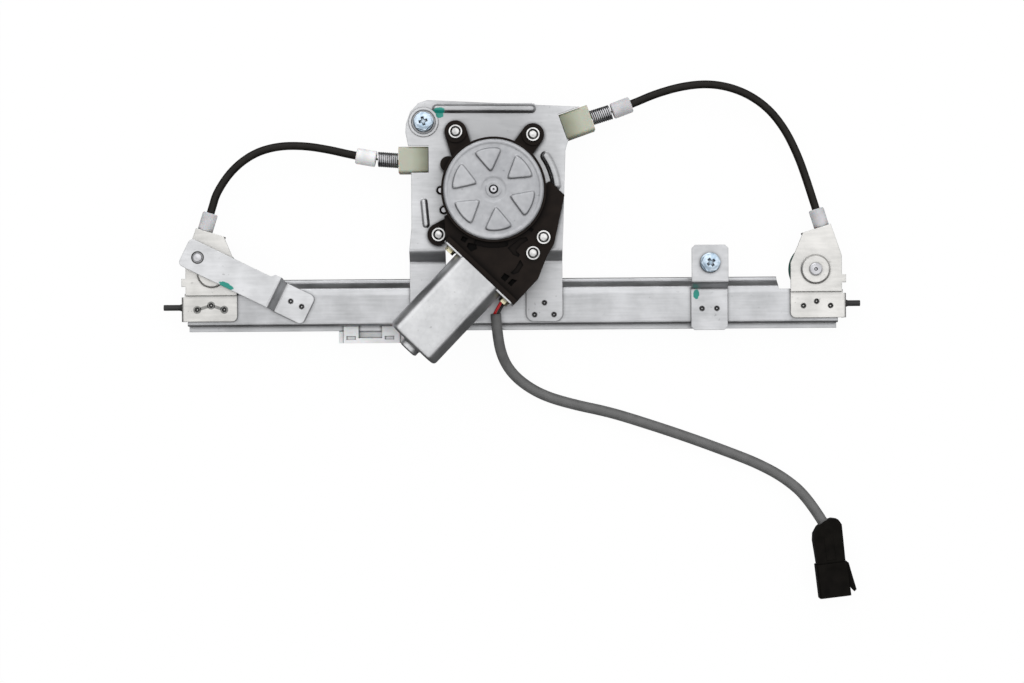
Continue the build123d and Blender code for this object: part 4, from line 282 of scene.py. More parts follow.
def wound(name, dark, light, metallic, rough, way, pitch):
    """Strands or windings: close ridges across one direction, with painted shade in the grooves and painted
    highlight on the crests.
    """
    finish, tree, shader, place = start_finish(name, metallic, rough)
    mapped = add(tree, "Mapping", {"Vector": place, "Rotation": tuple(radians(a) for a in way)})
    ridges = add(tree, "TexWave", {
        "Vector": mapped.outputs[0], "Scale": 1 / (mm(pitch) * 20), "Distortion": 0.3,
    }, bands_direction="X")
    # Painted shade in the grooves, painted highlight on the crests.
    colour = ramp(tree, ridges.outputs[1], (RIDGE_SHADING[0], dark), (RIDGE_SHADING[1], light))
    join(tree, shader, Base_Color=colour)
    join(tree, shader, Normal=bumped(tree, ridges.outputs[1], 0.6, mm(pitch) / 3))
    return finish


def clear_nylon(name, turn, shaded_end, lit_end):
    """Unfilled nylon: pale green-yellow, with painted shade darkening it towards the hollow inner end."""
    finish, tree, shader, place = start_finish(name, 0.0, 0.32)
    along = add(tree, "VectorRotate", {"Vector": place, "Angle": radians(-turn)}, rotation_type="Z_AXIS")
    along = add(tree, "SeparateXYZ", {0: along.outputs[0]}).outputs[0]
    cloud = noise(tree, place, 90.0, detail=4)
    # Painted shade: dark at the inner end, light at the outer end, turned along the socket.
    way = spread(tree, along, mm(shaded_end), mm(lit_end))
    tone = math(tree, "ADD", way, spread(tree, cloud, 0.2, 0.8, -0.10, 0.10))
    shader.inputs["Subsurface Weight"].default_value = 0.35
    shader.inputs["Subsurface Scale"].default_value = 0.006
    shader.inputs["Coat Weight"].default_value = 0.25
    join(tree, shader, Base_Color=ramp(tree, tone, *NYLON_SHADE_TONES))
    join(tree, shader, Normal=bumped(tree, noise(tree, place, 500.0), 0.08, FINE_BUMP, 0.0006))
    return finish


ZINC_DARK = (0.42, 0.425, 0.435)
ZINC_LIGHT = (0.58, 0.585, 0.60)
zinc = steel("zinc_sheet", (0.50, 0.495, 0.48), (0.68, 0.67, 0.65), (0.30, 0.44))
# The plate: painted shade over its middle (middle=0.62), and two dabs of green paint.
zinc_plate = steel(
    "zinc_plate", (0.44, 0.445, 0.455), (0.62, 0.625, 0.64), (0.30, 0.44), blotch=30.0, middle=0.62,
    paint=[((-42.3, 63.6, 26), (4.9, 2.6), 0), ((-42.0, 60.2, 26), (3.0, 2.4), 0)],
)
zinc_arm = steel(
    "zinc_arm", (0.48, 0.485, 0.495), (0.65, 0.655, 0.67), (0.30, 0.44),
    paint=[((-209.3, -71.8, 26), (6.4, 2.8), -27)],
)
zinc_bracket = steel(
    "zinc_bracket", ZINC_DARK, ZINC_LIGHT, (0.30, 0.44), paint=[((157.9, -80.9, 20), (2.4, 4.1), 0)]
)
zinc_rail = steel(
    "zinc_rail", (0.39, 0.395, 0.405), (0.54, 0.545, 0.56), (0.30, 0.46), streak=(30, 520, 60)
)
cover_finish = steel(
    "cover_sheet", (0.31, 0.315, 0.33), (0.45, 0.455, 0.47), (0.38, 0.50), (260, 260, 260), 30.0
)
can_finish = steel(
    "can_sheet", (0.46, 0.465, 0.475), (0.62, 0.625, 0.635), (0.34, 0.46), (300, 300, 300), 36.0
)
blue_zinc = plated("blue_zinc", (0.30, 0.40, 0.50), (0.62, 0.70, 0.78), (0.16, 0.28))
bright_steel = plated("bright_steel", (0.38, 0.38, 0.38), (0.72, 0.72, 0.71), (0.20, 0.32))
yellow_zinc = plated("yellow_zinc", (0.55, 0.50, 0.30), (0.80, 0.76, 0.58), (0.25, 0.36))
plain_steel = plated("plain_steel", (0.40, 0.40, 0.42), (0.62, 0.62, 0.64), (0.28, 0.42))
# Painted shade: near-black for the shaded dimples of the clinch marks and for shaded edges.
shade_black = plated("painted_shade_black", (0.05, 0.05, 0.05), (0.10, 0.10, 0.10), (0.35, 0.5))
mark_grey = plated("clinch_grey", (0.16, 0.16, 0.155), (0.30, 0.30, 0.29), (0.45, 0.55))
spring_steel = plated("spring_steel", (0.36, 0.36, 0.38), (0.60, 0.60, 0.62), (0.24, 0.34), edge=0)
bronze = plated("bronze", (0.50, 0.34, 0.18), (0.68, 0.50, 0.30), (0.30, 0.42))
brass = plated("brass", (0.62, 0.48, 0.22), (0.82, 0.68, 0.38), (0.22, 0.34))
core_steel = wound("core_laminations", grey(0.12), grey(0.34), 1.0, 0.45, (0, 0, -46.2), 0.9)
copper = wound("copper_windings", (0.40, 0.16, 0.07), (0.80, 0.42, 0.24), 1.0, 0.35, (0, 0, 43.8), 0.8)
copper_bars = plated("copper_bars", (0.58, 0.28, 0.14), (0.80, 0.46, 0.28), (0.25, 0.35))
cable_steel = wound("cable_strands", grey(0.10), grey(0.42), 1.0, 0.38, (0, 0, 40), 0.45)
ferrite = moulded("ferrite", grey(0.035), grey(0.07), (0.55, 0.75), 600.0)
# In these finishes the last number is how far their painted crease shade reaches, in millimetres.
black_plastic = moulded(
    "black_plastic", (0.008, 0.0055, 0.0045), (0.014, 0.010, 0.008), (0.40, 0.54), sheen=0.07, crease_shade=6.0
)
plug_plastic = moulded(
    "plug_plastic", (0.0035, 0.003, 0.0025), (0.007, 0.006, 0.005), (0.34, 0.46), sheen=0.035, crease_shade=4.0
)
white_nylon = moulded(
    "white_nylon", (0.68, 0.68, 0.69), (0.80, 0.80, 0.81), (0.35, 0.5), 700.0, soft=0.15, crease_shade=1.5
)
# Painted shade: the white nylon made darker for the ferrules that lie in shade.
shaded_white_nylon = moulded(
    "shaded_white_ferrule", (0.46, 0.46, 0.475), (0.58, 0.58, 0.60), (0.35, 0.5), 700.0, soft=0.15, crease_shade=4.0
)
green_nylon = moulded("green_nylon", (0.010, 0.055, 0.045), (0.018, 0.085, 0.065), (0.32, 0.45))
left_clear = clear_nylon("left_clear_nylon", 0, -51.0, -64.0)
right_clear = clear_nylon("right_clear_nylon", 19.5, 68.0, 84.0)
conduit_black = moulded(
    "conduit_black", (0.007, 0.006, 0.005), (0.014, 0.012, 0.010), (0.32, 0.44), edge=0, sheen=0.15
)
black_rubber = moulded("black_rubber", grey(0.010), grey(0.022), (0.60, 0.75), 900.0, 0.2)
carbon = moulded("carbon", grey(0.02), grey(0.05), (0.5, 0.7))
red_insulation = moulded("red_insulation", (0.42, 0.010, 0.012), (0.62, 0.020, 0.022), (0.30, 0.4), edge=0)
black_insulation = moulded("black_insulation", grey(0.010), grey(0.025), (0.30, 0.4), edge=0)
sleeve_grey = moulded("sleeve_grey", grey(0.092), grey(0.125), (0.42, 0.56), 700.0, 0.25, edge=0)

NODE_FINISHES = {
    zinc: ("left_end_bracket", "right_end_bracket"),
    zinc_plate: ("motor_plate",),
    zinc_arm: ("left_mounting_arm",),
    zinc_bracket: ("right_mounting_bracket",),
    zinc_rail: ("guide_rail",),
    cover_finish: ("gear_cover",),
    can_finish: ("motor_can",),
    blue_zinc: ("mounting_bolts",),
    bright_steel: ("motor_screws", "ear_bushes"),
    yellow_zinc: ("flange_screws",),
    plain_steel: (
        "weld_nuts", "arm_stud", "left_pulley_pin", "right_pulley_pin", "output_shaft", "wheel_hub",
        "armature_shaft", "cable_nipples",
    ),
    spring_steel: ("left_tension_spring", "right_tension_spring"),
    cable_steel: ("left_cable", "right_cable", "drum_cable_turns"),
    core_steel: ("armature_core",),
    ferrite: ("magnets",),
    bronze: ("motor_bearings",),
    brass: ("glass_bush", "plug_terminals"),
    copper: ("armature_windings",),
    copper_bars: ("commutator",),
    black_plastic: ("gear_housing", "drum_housing", "brush_holder"),
    plug_plastic: ("plug_housing",),
    white_nylon: ("slider", "cable_drum", "worm_wheel", "plug_lock", "left_motor_ferrule"),
    shaded_white_nylon: ("right_motor_ferrule", "left_end_ferrule", "right_end_ferrule"),
    green_nylon: ("left_pulley", "right_pulley"),
    left_clear: ("left_cable_socket",),
    right_clear: ("right_cable_socket",),
    conduit_black: ("left_conduit", "right_conduit"),
    black_rubber: ("left_buffer", "right_buffer", "wheel_damper", "wire_grommet"),
    carbon: ("brushes",),
    red_insulation: ("red_wire",),
    black_insulation: ("black_wire",),
    sleeve_grey: ("harness_sleeve",),
}
for finish, names in NODE_FINISHES.items():
    for name in names:
        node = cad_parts[name]
        node.data.materials.clear()
        node.data.materials.append(finish)


# Cords: the conduits, the two feed wires and the grey sleeve

CONDUIT_RADIUS = 3.15
SLEEVE_RADIUS = 4.2
SLEEVE_WALL = 0.9
SLEEVE_MOUTH = 2.6              # how far the open mouth stands out from the sleeve's start
MOUTH_ROUND = 0.3
MOUTH_INNER_ROUND = 0.2
MOUTH_LAP = 0.6                 # how far the mouth reaches over the sleeve
MOUTH_SHADE_DISC = 0.1               # from the sleeve's start to the dark disc of painted shade behind the wires
WIRE_RADIUS = 1.15
CABLE_LEVEL = 12.5
LEFT_CONDUIT = [
    (-99.98, 28.51), (-112.28, 30.73), (-128.8, 34.8), (-148.8, 38.1), (-169.7, 38.0), (-188.7, 32.5),
    (-205.5, 19.9), (-217.8, 2.1), (-221.39, -10.13), (-225.15, -22.05),
]
RIGHT_CONDUIT = [
    (100.47, 66.05), (112.17, 70.45), (126.9, 76.8), (149.3, 83.1), (172.3, 84.8), (195.0, 79.1),
    (214.5, 66.7), (228.7, 49.0), (238.9, 27.8), (245.4, 9.1), (251.39, -10.13), (255.15, -22.05),
]
SLEEVE_ROUTE = [
    (1.0, -97.6, 25.8), (2.0, -111.0, 24.6), (4.6, -126.0, 16.5), (10.5, -138.5, 8.6),
    (21.0, -149.5, 4.6), (38.0, -159.8, 4.3), (62.0, -167.0, 4.3), (90.0, -173.0, 4.3),
    (120.0, -182.5, 4.3), (151.0, -193.0, 4.4), (180.0, -203.8, 4.4), (206.0, -214.0, 4.6),
    (228.0, -226.0, 5.0), (246.0, -242.0, 6.6), (258.2, -262.6, 8.9),
]


def flexible(name, points, radius, finish):
    """A cord: a smooth round line through its route's points."""
    curve = bpy.data.curves.new(name, "CURVE")
    curve.dimensions = "3D"
    curve.bevel_depth = mm(radius)
    curve.bevel_resolution = 6
    curve.resolution_u = 16
    curve.use_fill_caps = True
    spline = curve.splines.new("NURBS")
    spline.points.add(len(points) - 1)
    for control, point in zip(spline.points, points):
        control.co = (*mm(*point), 1.0)
    spline.order_u = 3
    spline.use_endpoint_u = True
    curve.materials.append(finish)
    piece = bpy.data.objects.new(name, curve)
    bpy.context.scene.collection.objects.link(piece)
    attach(piece, "frame")
    return piece


for side, route in (("left", LEFT_CONDUIT), ("right", RIGHT_CONDUIT)):
    level_route = [(*point, CABLE_LEVEL) for point in route]
    conduit = flexible(side + "_sheath", level_route, CONDUIT_RADIUS, conduit_black)
    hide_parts(side + "_conduit")


FEED_WIRES = (
    ("red", [
        (6.16, -84.88, 32.0), (5.05, -86.03, 32.0), (3.2, -89.0, 30.2), (0.0, -94.6, 27.4),
        (-0.4, -97.6, 25.8), (0.05, -103.5, 25.3),
    ], red_insulation),
    ("black", [
        (8.18, -86.82, 32.0), (7.07, -87.97, 32.0), (6.0, -89.0, 30.2), (2.8, -94.6, 27.4),
        (2.4, -97.6, 25.8), (2.85, -103.5, 25.3),
    ], black_insulation),
)

for name, route, finish in FEED_WIRES:
    lead = flexible(name + "_lead", route, WIRE_RADIUS, finish)
    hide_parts(name + "_wire")

sleeve = flexible("sleeve", SLEEVE_ROUTE, SLEEVE_RADIUS, sleeve_grey)
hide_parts("harness_sleeve")


# Pieces from meshes

AROUND = 48
MERGE = 0.01                    # points nearer than this are one


def spun(work, profile, lift=0.0, steps=AROUND):
    """Turn a profile of radius and height about Z."""
    points = [work.verts.new(mm(radius, 0, height + lift)) for radius, height in profile]
    edges = [work.edges.new(pair) for pair in zip(points, points[1:])]
    bmesh.ops.spin(
        work, geom=points + edges, cent=(0, 0, 0), axis=(0, 0, 1), angle=2 * pi, steps=steps, use_merge=True
    )


def new_verts(made):
    """The points that an extrusion made."""
    return [geom for geom in made if isinstance(geom, bmesh.types.BMVert)]


def new_edges(made):
    """The edges that an extrusion made."""
    return [geom for geom in made if isinstance(geom, bmesh.types.BMEdge)]


def merge(work):
    """Join what touches and turn every face outwards."""
    bmesh.ops.remove_doubles(work, verts=work.verts[:], dist=mm(MERGE))
    bmesh.ops.recalc_face_normals(work, faces=work.faces[:])


def face_up(work):
    """Turn the faces of an open shell so that they look upwards."""
    bmesh.ops.recalc_face_normals(work, faces=work.faces[:])
    if sum(face.normal.z for face in work.faces) < 0:
        bmesh.ops.reverse_faces(work, faces=work.faces[:])


def pour(work, part):
    """Add a finished part to a mesh."""
    mesh = bpy.data.meshes.new("part")
    part.to_mesh(mesh)
    part.free()
    work.from_mesh(mesh)
    bpy.data.meshes.remove(mesh)


def finished(work, name, body, finish):
    """The object of a finished mesh, riding on its body."""
    mesh = bpy.data.meshes.new(name)
    for face in work.faces:
        face.smooth = True
    work.to_mesh(mesh)
    work.free()
    mesh.materials.append(finish)
    piece = bpy.data.objects.new(name, mesh)
    bpy.context.scene.collection.objects.link(piece)
    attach(piece, body)
    return piece


def pointing(point, turn, height):
    """The place of a piece whose Z axis lies along a turn in the floor plane."""
    facing = Matrix.Rotation(radians(turn), 4, "Z") @ Matrix.Rotation(pi / 2, 4, "Y")
    return Matrix.Translation(mm(*point, height)) @ facing


# Tension springs

SPRING_RADIUS = 6.0
SPRING_WIRE = 1.55
SPRING_STEPS = 24
WIRE_SIDES = 10
SPRINGS = (                     # side, start, turn, length, coils
    ("left", (-74.3, 25.8), 175.7, 17.3, 10),
    ("right", (76.19, 58.06), 17.2, 17.3, 10),
)


def make_spring(side, start, turn, length, coils):
    """A close coil spring between a socket and its ferrule."""
    work = bmesh.new()
    lead = (length - SPRING_WIRE) / coils
    facing = Matrix.Translation(mm(SPRING_RADIUS - SPRING_WIRE / 2, 0, SPRING_WIRE / 2))
    bmesh.ops.create_circle(
        work, segments=WIRE_SIDES, radius=mm(SPRING_WIRE / 2), matrix=facing @ Matrix.Rotation(pi / 2, 4, "X")
    )
    bmesh.ops.spin(
        work, geom=work.verts[:] + work.edges[:], cent=(0, 0, 0), axis=(0, 0, 1),
        dvec=(0, 0, mm(lead) / SPRING_STEPS), angle=2 * pi * coils, steps=SPRING_STEPS * coils,
    )
    bmesh.ops.holes_fill(work, edges=[e for e in work.edges if e.is_boundary], sides=0)
    bmesh.ops.recalc_face_normals(work, faces=work.faces[:])
    bmesh.ops.transform(work, matrix=pointing(start, turn, CABLE_LEVEL), verts=work.verts[:])
    spring = finished(work, side + "_spring_coil", "frame", spring_steel)
    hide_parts(side + "_tension_spring")


for spring_facts in SPRINGS:
    make_spring(*spring_facts)


# The sleeve's open mouth, where the two wires go in

def make_sleeve_mouth():
    """A short tube before the sleeve's start, with a dark disc of painted shade behind the wires."""
    start, after = mm(*SLEEVE_ROUTE[0]), mm(*SLEEVE_ROUTE[1])
    facing = (start - after).normalized().to_track_quat("Z", "Y").to_matrix().to_4x4()
    inner = SLEEVE_RADIUS - SLEEVE_WALL
    round_start = SLEEVE_MOUTH - MOUTH_ROUND
    lip = (
        (SLEEVE_RADIUS, -MOUTH_LAP), (SLEEVE_RADIUS, round_start),
        (SLEEVE_RADIUS - MOUTH_ROUND, SLEEVE_MOUTH), (inner + MOUTH_INNER_ROUND, SLEEVE_MOUTH),
        (inner, round_start), (inner, MOUTH_SHADE_DISC),
    )
    # Painted shade: a dark disc where the inside of the mouth is shaded.
    floor = ((0, MOUTH_SHADE_DISC), (inner, MOUTH_SHADE_DISC), (inner, MOUTH_SHADE_DISC + MOUTH_ROUND))
    for profile, name, finish in ((lip, "sleeve_mouth", sleeve_grey), (floor, "sleeve_mouth_shade", black_rubber)):
        work = bmesh.new()
        spun(work, profile)
        merge(work)
        bmesh.ops.transform(work, matrix=Matrix.Translation(start) @ facing, verts=work.verts[:])
        finished(work, name, "frame", finish)


# Pressed forms of the sheets: the plate's beads, the cover's pads, the clinch marks with their painted shade

PLATE_FACE = 26.0               # height of the raised sheets' faces
PAD_FACE = 17.5                 # height of the faces that lie on the rail
BEAD_GRID = 0.4
BEAD_SUNK = 0.12                # a bead's edge lies this far under the sheet's face
BEAD_RIM = 0.02                 # above its edge, where a bead's faces start
BEAD_CROWN = 1.25               # over 1, a bead has a level crown
BEADS = (                       # centre line, half width, rise
    ("top_bead", [(-44.2, 65.3), (29.8, 64.7)], 4.2, 2.2),
    ("side_bead", [(-54.6, -7.4), (-53.0, -25.0)], 3.4, 1.6),
)
ARC_BEAD = (49.0, 6.0, 34.0, 4.9, 1.9)      # radius, first and last angle, half width, rise
ARC_STEPS = 14
COVER_TOP = 57.0
COVER_RADIUS = 38.9
COVER_BORE = 3.6
COVER_RINGS = 96
COVER_AROUND = 300
COVER_WALL = 1.4
COVER_RIM = ((34.6, 1.6, 0.6), (37.2, 1.7, -0.9))       # radius where it starts, way outwards, rise
COVER_DISH = ((10.2, 1.6, -0.45), (6.6, 1.2, 0.5))      # radius where it starts, way inwards, rise
PAD_TURNS = (98.0, 37.0, -22.0, -83.0, -142.5, 160.0)
PAD_APEX = 11.6                 # from the axis to a pad's inner point
PAD_REACH = 32.4
PAD_HALF_SPREAD = 32.5          # angle of a pad's sides to its middle
PAD_RISE = 1.5
PAD_SLOPE = 1.5
PAD_ROUND = 1.1
STEPS = (                       # upper edge's middle, way down, width, length
    ("left_leg_step", -52.15, -44.2, -90.0, 28.2, 11.4, zinc_plate),
    ("right_leg_step", 38.95, -44.2, -90.0, 28.4, 11.4, zinc_plate),
    ("arm_step", -173.4, -78.1, -26.2, 23.2, 7.4, zinc_arm),
    ("bracket_step", 168.2, -70.5, -90.0, 28.6, 6.8, zinc_bracket),
)
STEP_LAP = 0.12                 # a step starts this far above the sheet's face
STEP_FACETS = 28
# Painted shade: dark strips along the end brackets' flange edges.
FLANGE_SHADE_LINES = (((241.9, -34.2), (258.3, -28.8)), ((-211.9, -34.2), (-228.3, -28.8)))
FLANGE_SHADE_WIDTH = 1.7
FLANGE_SHADE_RISE = 0.05
ARM_STUD = (-231.4, -49.6)
STUD_SHADE_RING = ((4.2, 0.04), (5.0, 0.04))                  # painted shade round the arm's stud: radius and height over the sheet's face
PIN_FACES = ((-41.37, 1.44), (-39.0, -13.9))            # the two pins at the housing's left side
PIN_FACE_RADIUS = 1.9
PIN_FACE_HEIGHT = 27.3
# Painted shade: a dark ring sunk in each clinch mark, where its dimple is shaded; radius and height.
CLINCH_SHADE_RING = ((0.7, -0.5), (1.1, -0.85), (1.7, -0.8), (2.15, 0.04), (2.3, 0.0))
CLINCHES = (
    (31.15, -95.9), (38.95, -86.6), (46.35, -95.9), (-44.35, -95.9), (-52.15, -86.6), (-59.55, -95.9),
    (162.4, -92.0), (174.0, -92.0), (-159.8, -84.16), (-151.28, -88.36), (-211.9, -90.35),
    (-222.2, -86.95), (-233.1, -90.35), (241.9, -90.35), (252.2, -86.95), (263.1, -90.35),
)
SMEAR = ((-211.9, -90.35), (-222.2, -86.95), (-233.1, -90.35))
SMEAR_WIDTH = 2.4
SMEAR_RISE = 0.03
SMEAR_RING = ((2.25, SMEAR_RISE), (3.1, SMEAR_RISE))


def eased(value):
    """A step from 0 to 1 that starts and ends softly."""
    value = min(max(value, 0.0), 1.0)
    return value * value * (3 - 2 * value)


def from_line(point, line):
    """The distance from a point to a line of points."""
    nearest = []
    for start, end in zip(line, line[1:]):
        way = end - start
        share = min(max((point - start).dot(way) / way.length_squared, 0.0), 1.0)
        nearest.append((point - start - way * share).length)
    return min(nearest)


def make_bead(name, line, half_width, rise):
    """A soft bead pressed up along a line."""
    line = [Vector(point) for point in line]
    low = Vector([min(point[axis] for point in line) - half_width for axis in (0, 1)])
    high = Vector([max(point[axis] for point in line) + half_width for axis in (0, 1)])
    size = high - low
    work = bmesh.new()
    bmesh.ops.create_grid(
        work, x_segments=int(size.x / BEAD_GRID), y_segments=int(size.y / BEAD_GRID), size=0.5,
        matrix=Matrix.Translation(((low + high) / 2).to_3d()) @ Matrix.Diagonal((size.x, size.y, 1, 1)),
    )
    for vert in work.verts:
        inward = 1 - from_line(vert.co.xy, line) / half_width
        vert.co.z = PLATE_FACE - BEAD_SUNK + (rise + BEAD_SUNK) * eased(inward * BEAD_CROWN)
    level = PLATE_FACE - BEAD_SUNK + BEAD_RIM
    outside = [face for face in work.faces if all(vert.co.z < level for vert in face.verts)]
    bmesh.ops.delete(work, geom=outside, context="FACES")
    bmesh.ops.scale(work, vec=mm(1, 1, 1), verts=work.verts[:])
    finished(work, name, "frame", zinc_plate)


def pad_inside(radius, angle):
    """How far inside the nearest pad's outline a point of the cover lies, in millimetres."""
    depths = []
    for turn in PAD_TURNS:
        away = radians((angle - turn + 180) % 360 - 180)
        along, across = radius * cos(away) - PAD_APEX, radius * sin(away)
        tilt = radians(PAD_HALF_SPREAD)
        sides = [along * sin(tilt) - side * across * cos(tilt) for side in (-1, 1)]
        edges = [*sides, PAD_REACH - radius]
        edges = [max(edge, -COVER_RADIUS) for edge in edges]
        depths.append(-PAD_ROUND * log(sum(exp(-edge / PAD_ROUND) for edge in edges)))
    return max(depths)


def cover_height(radius, angle):
    """The height of the cover's face: pads, rounded rim and the dish round the shaft."""
    height = COVER_TOP + PAD_RISE * eased(pad_inside(radius, angle) / PAD_SLOPE)
    for start, way, rise in COVER_RIM:
        height += rise * eased((radius - start) / way)
    for start, way, rise in COVER_DISH:
        height += rise * eased((start - radius) / way)
    return height


def make_cover():
    """The cover disc, spun from its radius and then pressed into shape."""
    work = bmesh.new()
    ring = (COVER_RADIUS - COVER_BORE) / COVER_RINGS
    radii = [COVER_BORE + ring * step for step in range(COVER_RINGS + 1)]
    spun(work, [(radius, 0) for radius in radii], COVER_TOP, steps=COVER_AROUND)
    wall = [v for v in work.verts if v.co.xy.length > mm(COVER_RADIUS - MERGE)]
    for vert in work.verts:
        turn = degrees(atan2(vert.co.y, vert.co.x))
        vert.co.z = mm(cover_height(vert.co.xy.length * 1000, turn))
    edges = list({e for v in wall for e in v.link_edges if e.is_boundary})
    for vert in new_verts(bmesh.ops.extrude_edge_only(work, edges=edges)["geom"]):
        vert.co.z = mm(COVER_TOP - COVER_WALL)
    face_up(work)
    cover = finished(work, "pressed_cover", "frame", cover_finish)
    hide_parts("gear_cover")


def add_ring(work, profile, place, height, steps):
    """Add a spun ring to a mesh, over a point of a sheet's face."""
    ring = bmesh.new()
    spun(ring, profile, height, steps)
    face_up(ring)
    bmesh.ops.translate(ring, vec=mm(*place, 0), verts=ring.verts[:])
    pour(work, ring)


def add_strip(work, start, end, width, height, shorter=0.0):
    """A flat strip between two points."""
    start, end = Vector(start), Vector(end)
    way = end - start
    bmesh.ops.create_grid(
        work, x_segments=1, y_segments=1, size=0.5,
        matrix=Matrix.Translation(mm(*((start + end) / 2), height))
        @ Matrix.Rotation(atan2(way.y, way.x), 4, "Z")
        @ Matrix.Diagonal((mm(way.length - 2 * shorter), mm(width), 1, 1)),
    )


def make_clinch_marks():
    """The dark rings of painted shade in the clinch marks, and the grey smear that links three of them."""
    rings = bmesh.new()
    # Painted shade: a dark ring in each clinch dimple.
    for clinch in CLINCHES:
        add_ring(rings, CLINCH_SHADE_RING, clinch, PAD_FACE, 24)
    finished(rings, "clinch_shade_rings", "frame", shade_black)
    smear = bmesh.new()
    for clinch in SMEAR:
        add_ring(smear, SMEAR_RING, clinch, PAD_FACE, 32)
    for start, end in zip(SMEAR, SMEAR[1:]):
        add_strip(smear, start, end, SMEAR_WIDTH, PAD_FACE + SMEAR_RISE, shorter=SMEAR_WIDTH)
    finished(smear, "clinch_smear", "frame", mark_grey)


def make_shade_lines():
    """Thin dark lines of painted shade: the end brackets' flange edges and the ring round the arm's stud."""
    work = bmesh.new()
    for start, end in FLANGE_SHADE_LINES:
        add_strip(work, start, end, FLANGE_SHADE_WIDTH, PAD_FACE + FLANGE_SHADE_RISE)
    add_ring(work, STUD_SHADE_RING, ARM_STUD, PLATE_FACE, 40)
    finished(work, "painted_shade_lines", "frame", shade_black)


def make_step(name, place, width, length, fall, finish):
    """A softly bent step down from a sheet's face: from its upper edge along its own X."""
    work = bmesh.new()
    bmesh.ops.create_grid(work, x_segments=STEP_FACETS, y_segments=1, size=0.5)
    for vert in work.verts:
        share = vert.co.x + 0.5
        vert.co = mm(share * length, vert.co.y * width, STEP_LAP - fall * eased(share))
    bmesh.ops.transform(work, matrix=place, verts=work.verts[:])
    finished(work, name, "frame", finish)


def make_pin_faces():
    """The grey ends of the two pins beside the cup."""
    work = bmesh.new()
    for x, y in PIN_FACES:
        bmesh.ops.create_circle(
            work, cap_ends=True, segments=24, radius=mm(PIN_FACE_RADIUS),
            matrix=Matrix.Translation(mm(x, y, PIN_FACE_HEIGHT)),
        )
    finished(work, "pin_faces", "frame", plain_steel)


for bead in BEADS:
    make_bead(*bead)
for name, x, y, turn, width, length, finish in STEPS:
    place = Matrix.Translation(mm(x, y, PLATE_FACE)) @ Matrix.Rotation(radians(turn), 4, "Z")
    make_step(name, place, width, length, PLATE_FACE - PAD_FACE, finish)
arc_radius, arc_start, arc_end, arc_half, arc_rise = ARC_BEAD
arc_line = []
for step in range(ARC_STEPS + 1):
    turn = radians(arc_start + (arc_end - arc_start) * step / ARC_STEPS)
    arc_line.append((arc_radius * cos(turn), arc_radius * sin(turn)))
make_bead("arc_bead", arc_line, arc_half, arc_rise)


# Mounting bolts: flange, hex head with a cross recess, and the threaded shank

BOLT_SEAT = 27.6
BOLT_PLACES = ((-54.5, 54.8), (168.2, -56.4))
BOLT_TURNS = (14.0, 34.0)
BOLT_END = 5.6
BOLT_CREST = 4.0
BOLT_ROOT = 3.4
BOLT_LEAD = 1.25
BOLT_POINT = 0.8                # height of the point's cone
THREAD_START = 1.2              # from the bolt's end
THREAD_TOP = 17.6               # the shank is plain from here up, in its nut
THREAD_STEPS = 24               # of one turn
THREAD_RIDGE = ((BOLT_ROOT, 0), (BOLT_CREST, 0.55), (BOLT_CREST, 0.7), (BOLT_ROOT, BOLT_LEAD))
NECK_TOP = 0.2                  # how far the neck goes into the flange
HEX_FLAT = 6.5                  # from the axis to a flat
HEX_FOOT = 1.2                  # from the seat up to the flats
HEX_TOP = 35.1
HEX_EASE = 0.25                 # from a flat in, where the chamfer's cone starts
HEX_CHAMFER = 0.7               # fall of the chamfer's cone, and its width at a flat
HEX_SIDES = 36
CROSS_ARM = 3.5                 # the cross recess: reach, half width, depth and taper of its arms
CROSS_HALF = 1.15
CROSS_DEPTH = 2.0
CROSS_TAPER = 0.78
SHARP_FROM = 28                 # edges of a head and thread that bend more are sharp
FLANGE_PROFILE = ((4.0, 0.0), (7.6, 0.0), (7.9, 0.25), (7.9, 0.55), (7.6, 0.8), (6.9, 1.15), (5.6, 1.6))


def hex_reach(angle):
    """How far the hex outline is from the axis at an angle."""
    sixth = pi / 3
    return HEX_FLAT / cos((angle + sixth / 2) % sixth - sixth / 2)


def raise_hex_head(work):
    """The chamfered hex head with its cross recess."""
    made = bmesh.ops.create_circle(work, segments=HEX_SIDES, radius=1.0)
    for vert in made["verts"]:
        angle = vert.co.xy.angle_signed(Vector((1, 0)))
        reach = mm(hex_reach(angle))
        vert.co = Vector((vert.co.x * reach, vert.co.y * reach, mm(BOLT_SEAT + HEX_FOOT)))
    edges = list({edge for vert in made["verts"] for edge in vert.link_edges})
    flats = bmesh.ops.extrude_edge_only(work, edges=edges)["geom"]
    for vert in new_verts(flats):
        vert.co.z = mm(HEX_TOP) - (vert.co.xy.length - mm(HEX_FLAT - HEX_EASE)) * HEX_CHAMFER
    crown = bmesh.ops.extrude_edge_only(work, edges=new_edges(flats))["geom"]
    for vert in new_verts(crown):
        vert.co.xy = vert.co.xy.normalized() * mm(HEX_FLAT - HEX_CHAMFER)
        vert.co.z = mm(HEX_TOP)
    outer = new_edges(crown)
    arm, half = CROSS_ARM, CROSS_HALF
    cross = [
        (arm, -half), (arm, half), (half, half), (half, arm), (-half, arm), (-half, half),
        (-arm, half), (-arm, -half), (-half, -half), (-half, -arm), (half, -arm), (half, -half),
    ]
    corners = [work.verts.new(mm(x, y, HEX_TOP)) for x, y in cross]
    inner = [work.edges.new(pair) for pair in zip(corners, corners[1:] + corners[:1])]
    bmesh.ops.triangle_fill(work, edges=outer + inner, use_beauty=True)
    sunk = bmesh.ops.extrude_edge_only(work, edges=inner)["geom"]
    for vert in new_verts(sunk):
        vert.co.xy *= CROSS_TAPER
        vert.co.z -= mm(CROSS_DEPTH)
    bmesh.ops.triangle_fill(work, edges=new_edges(sunk))


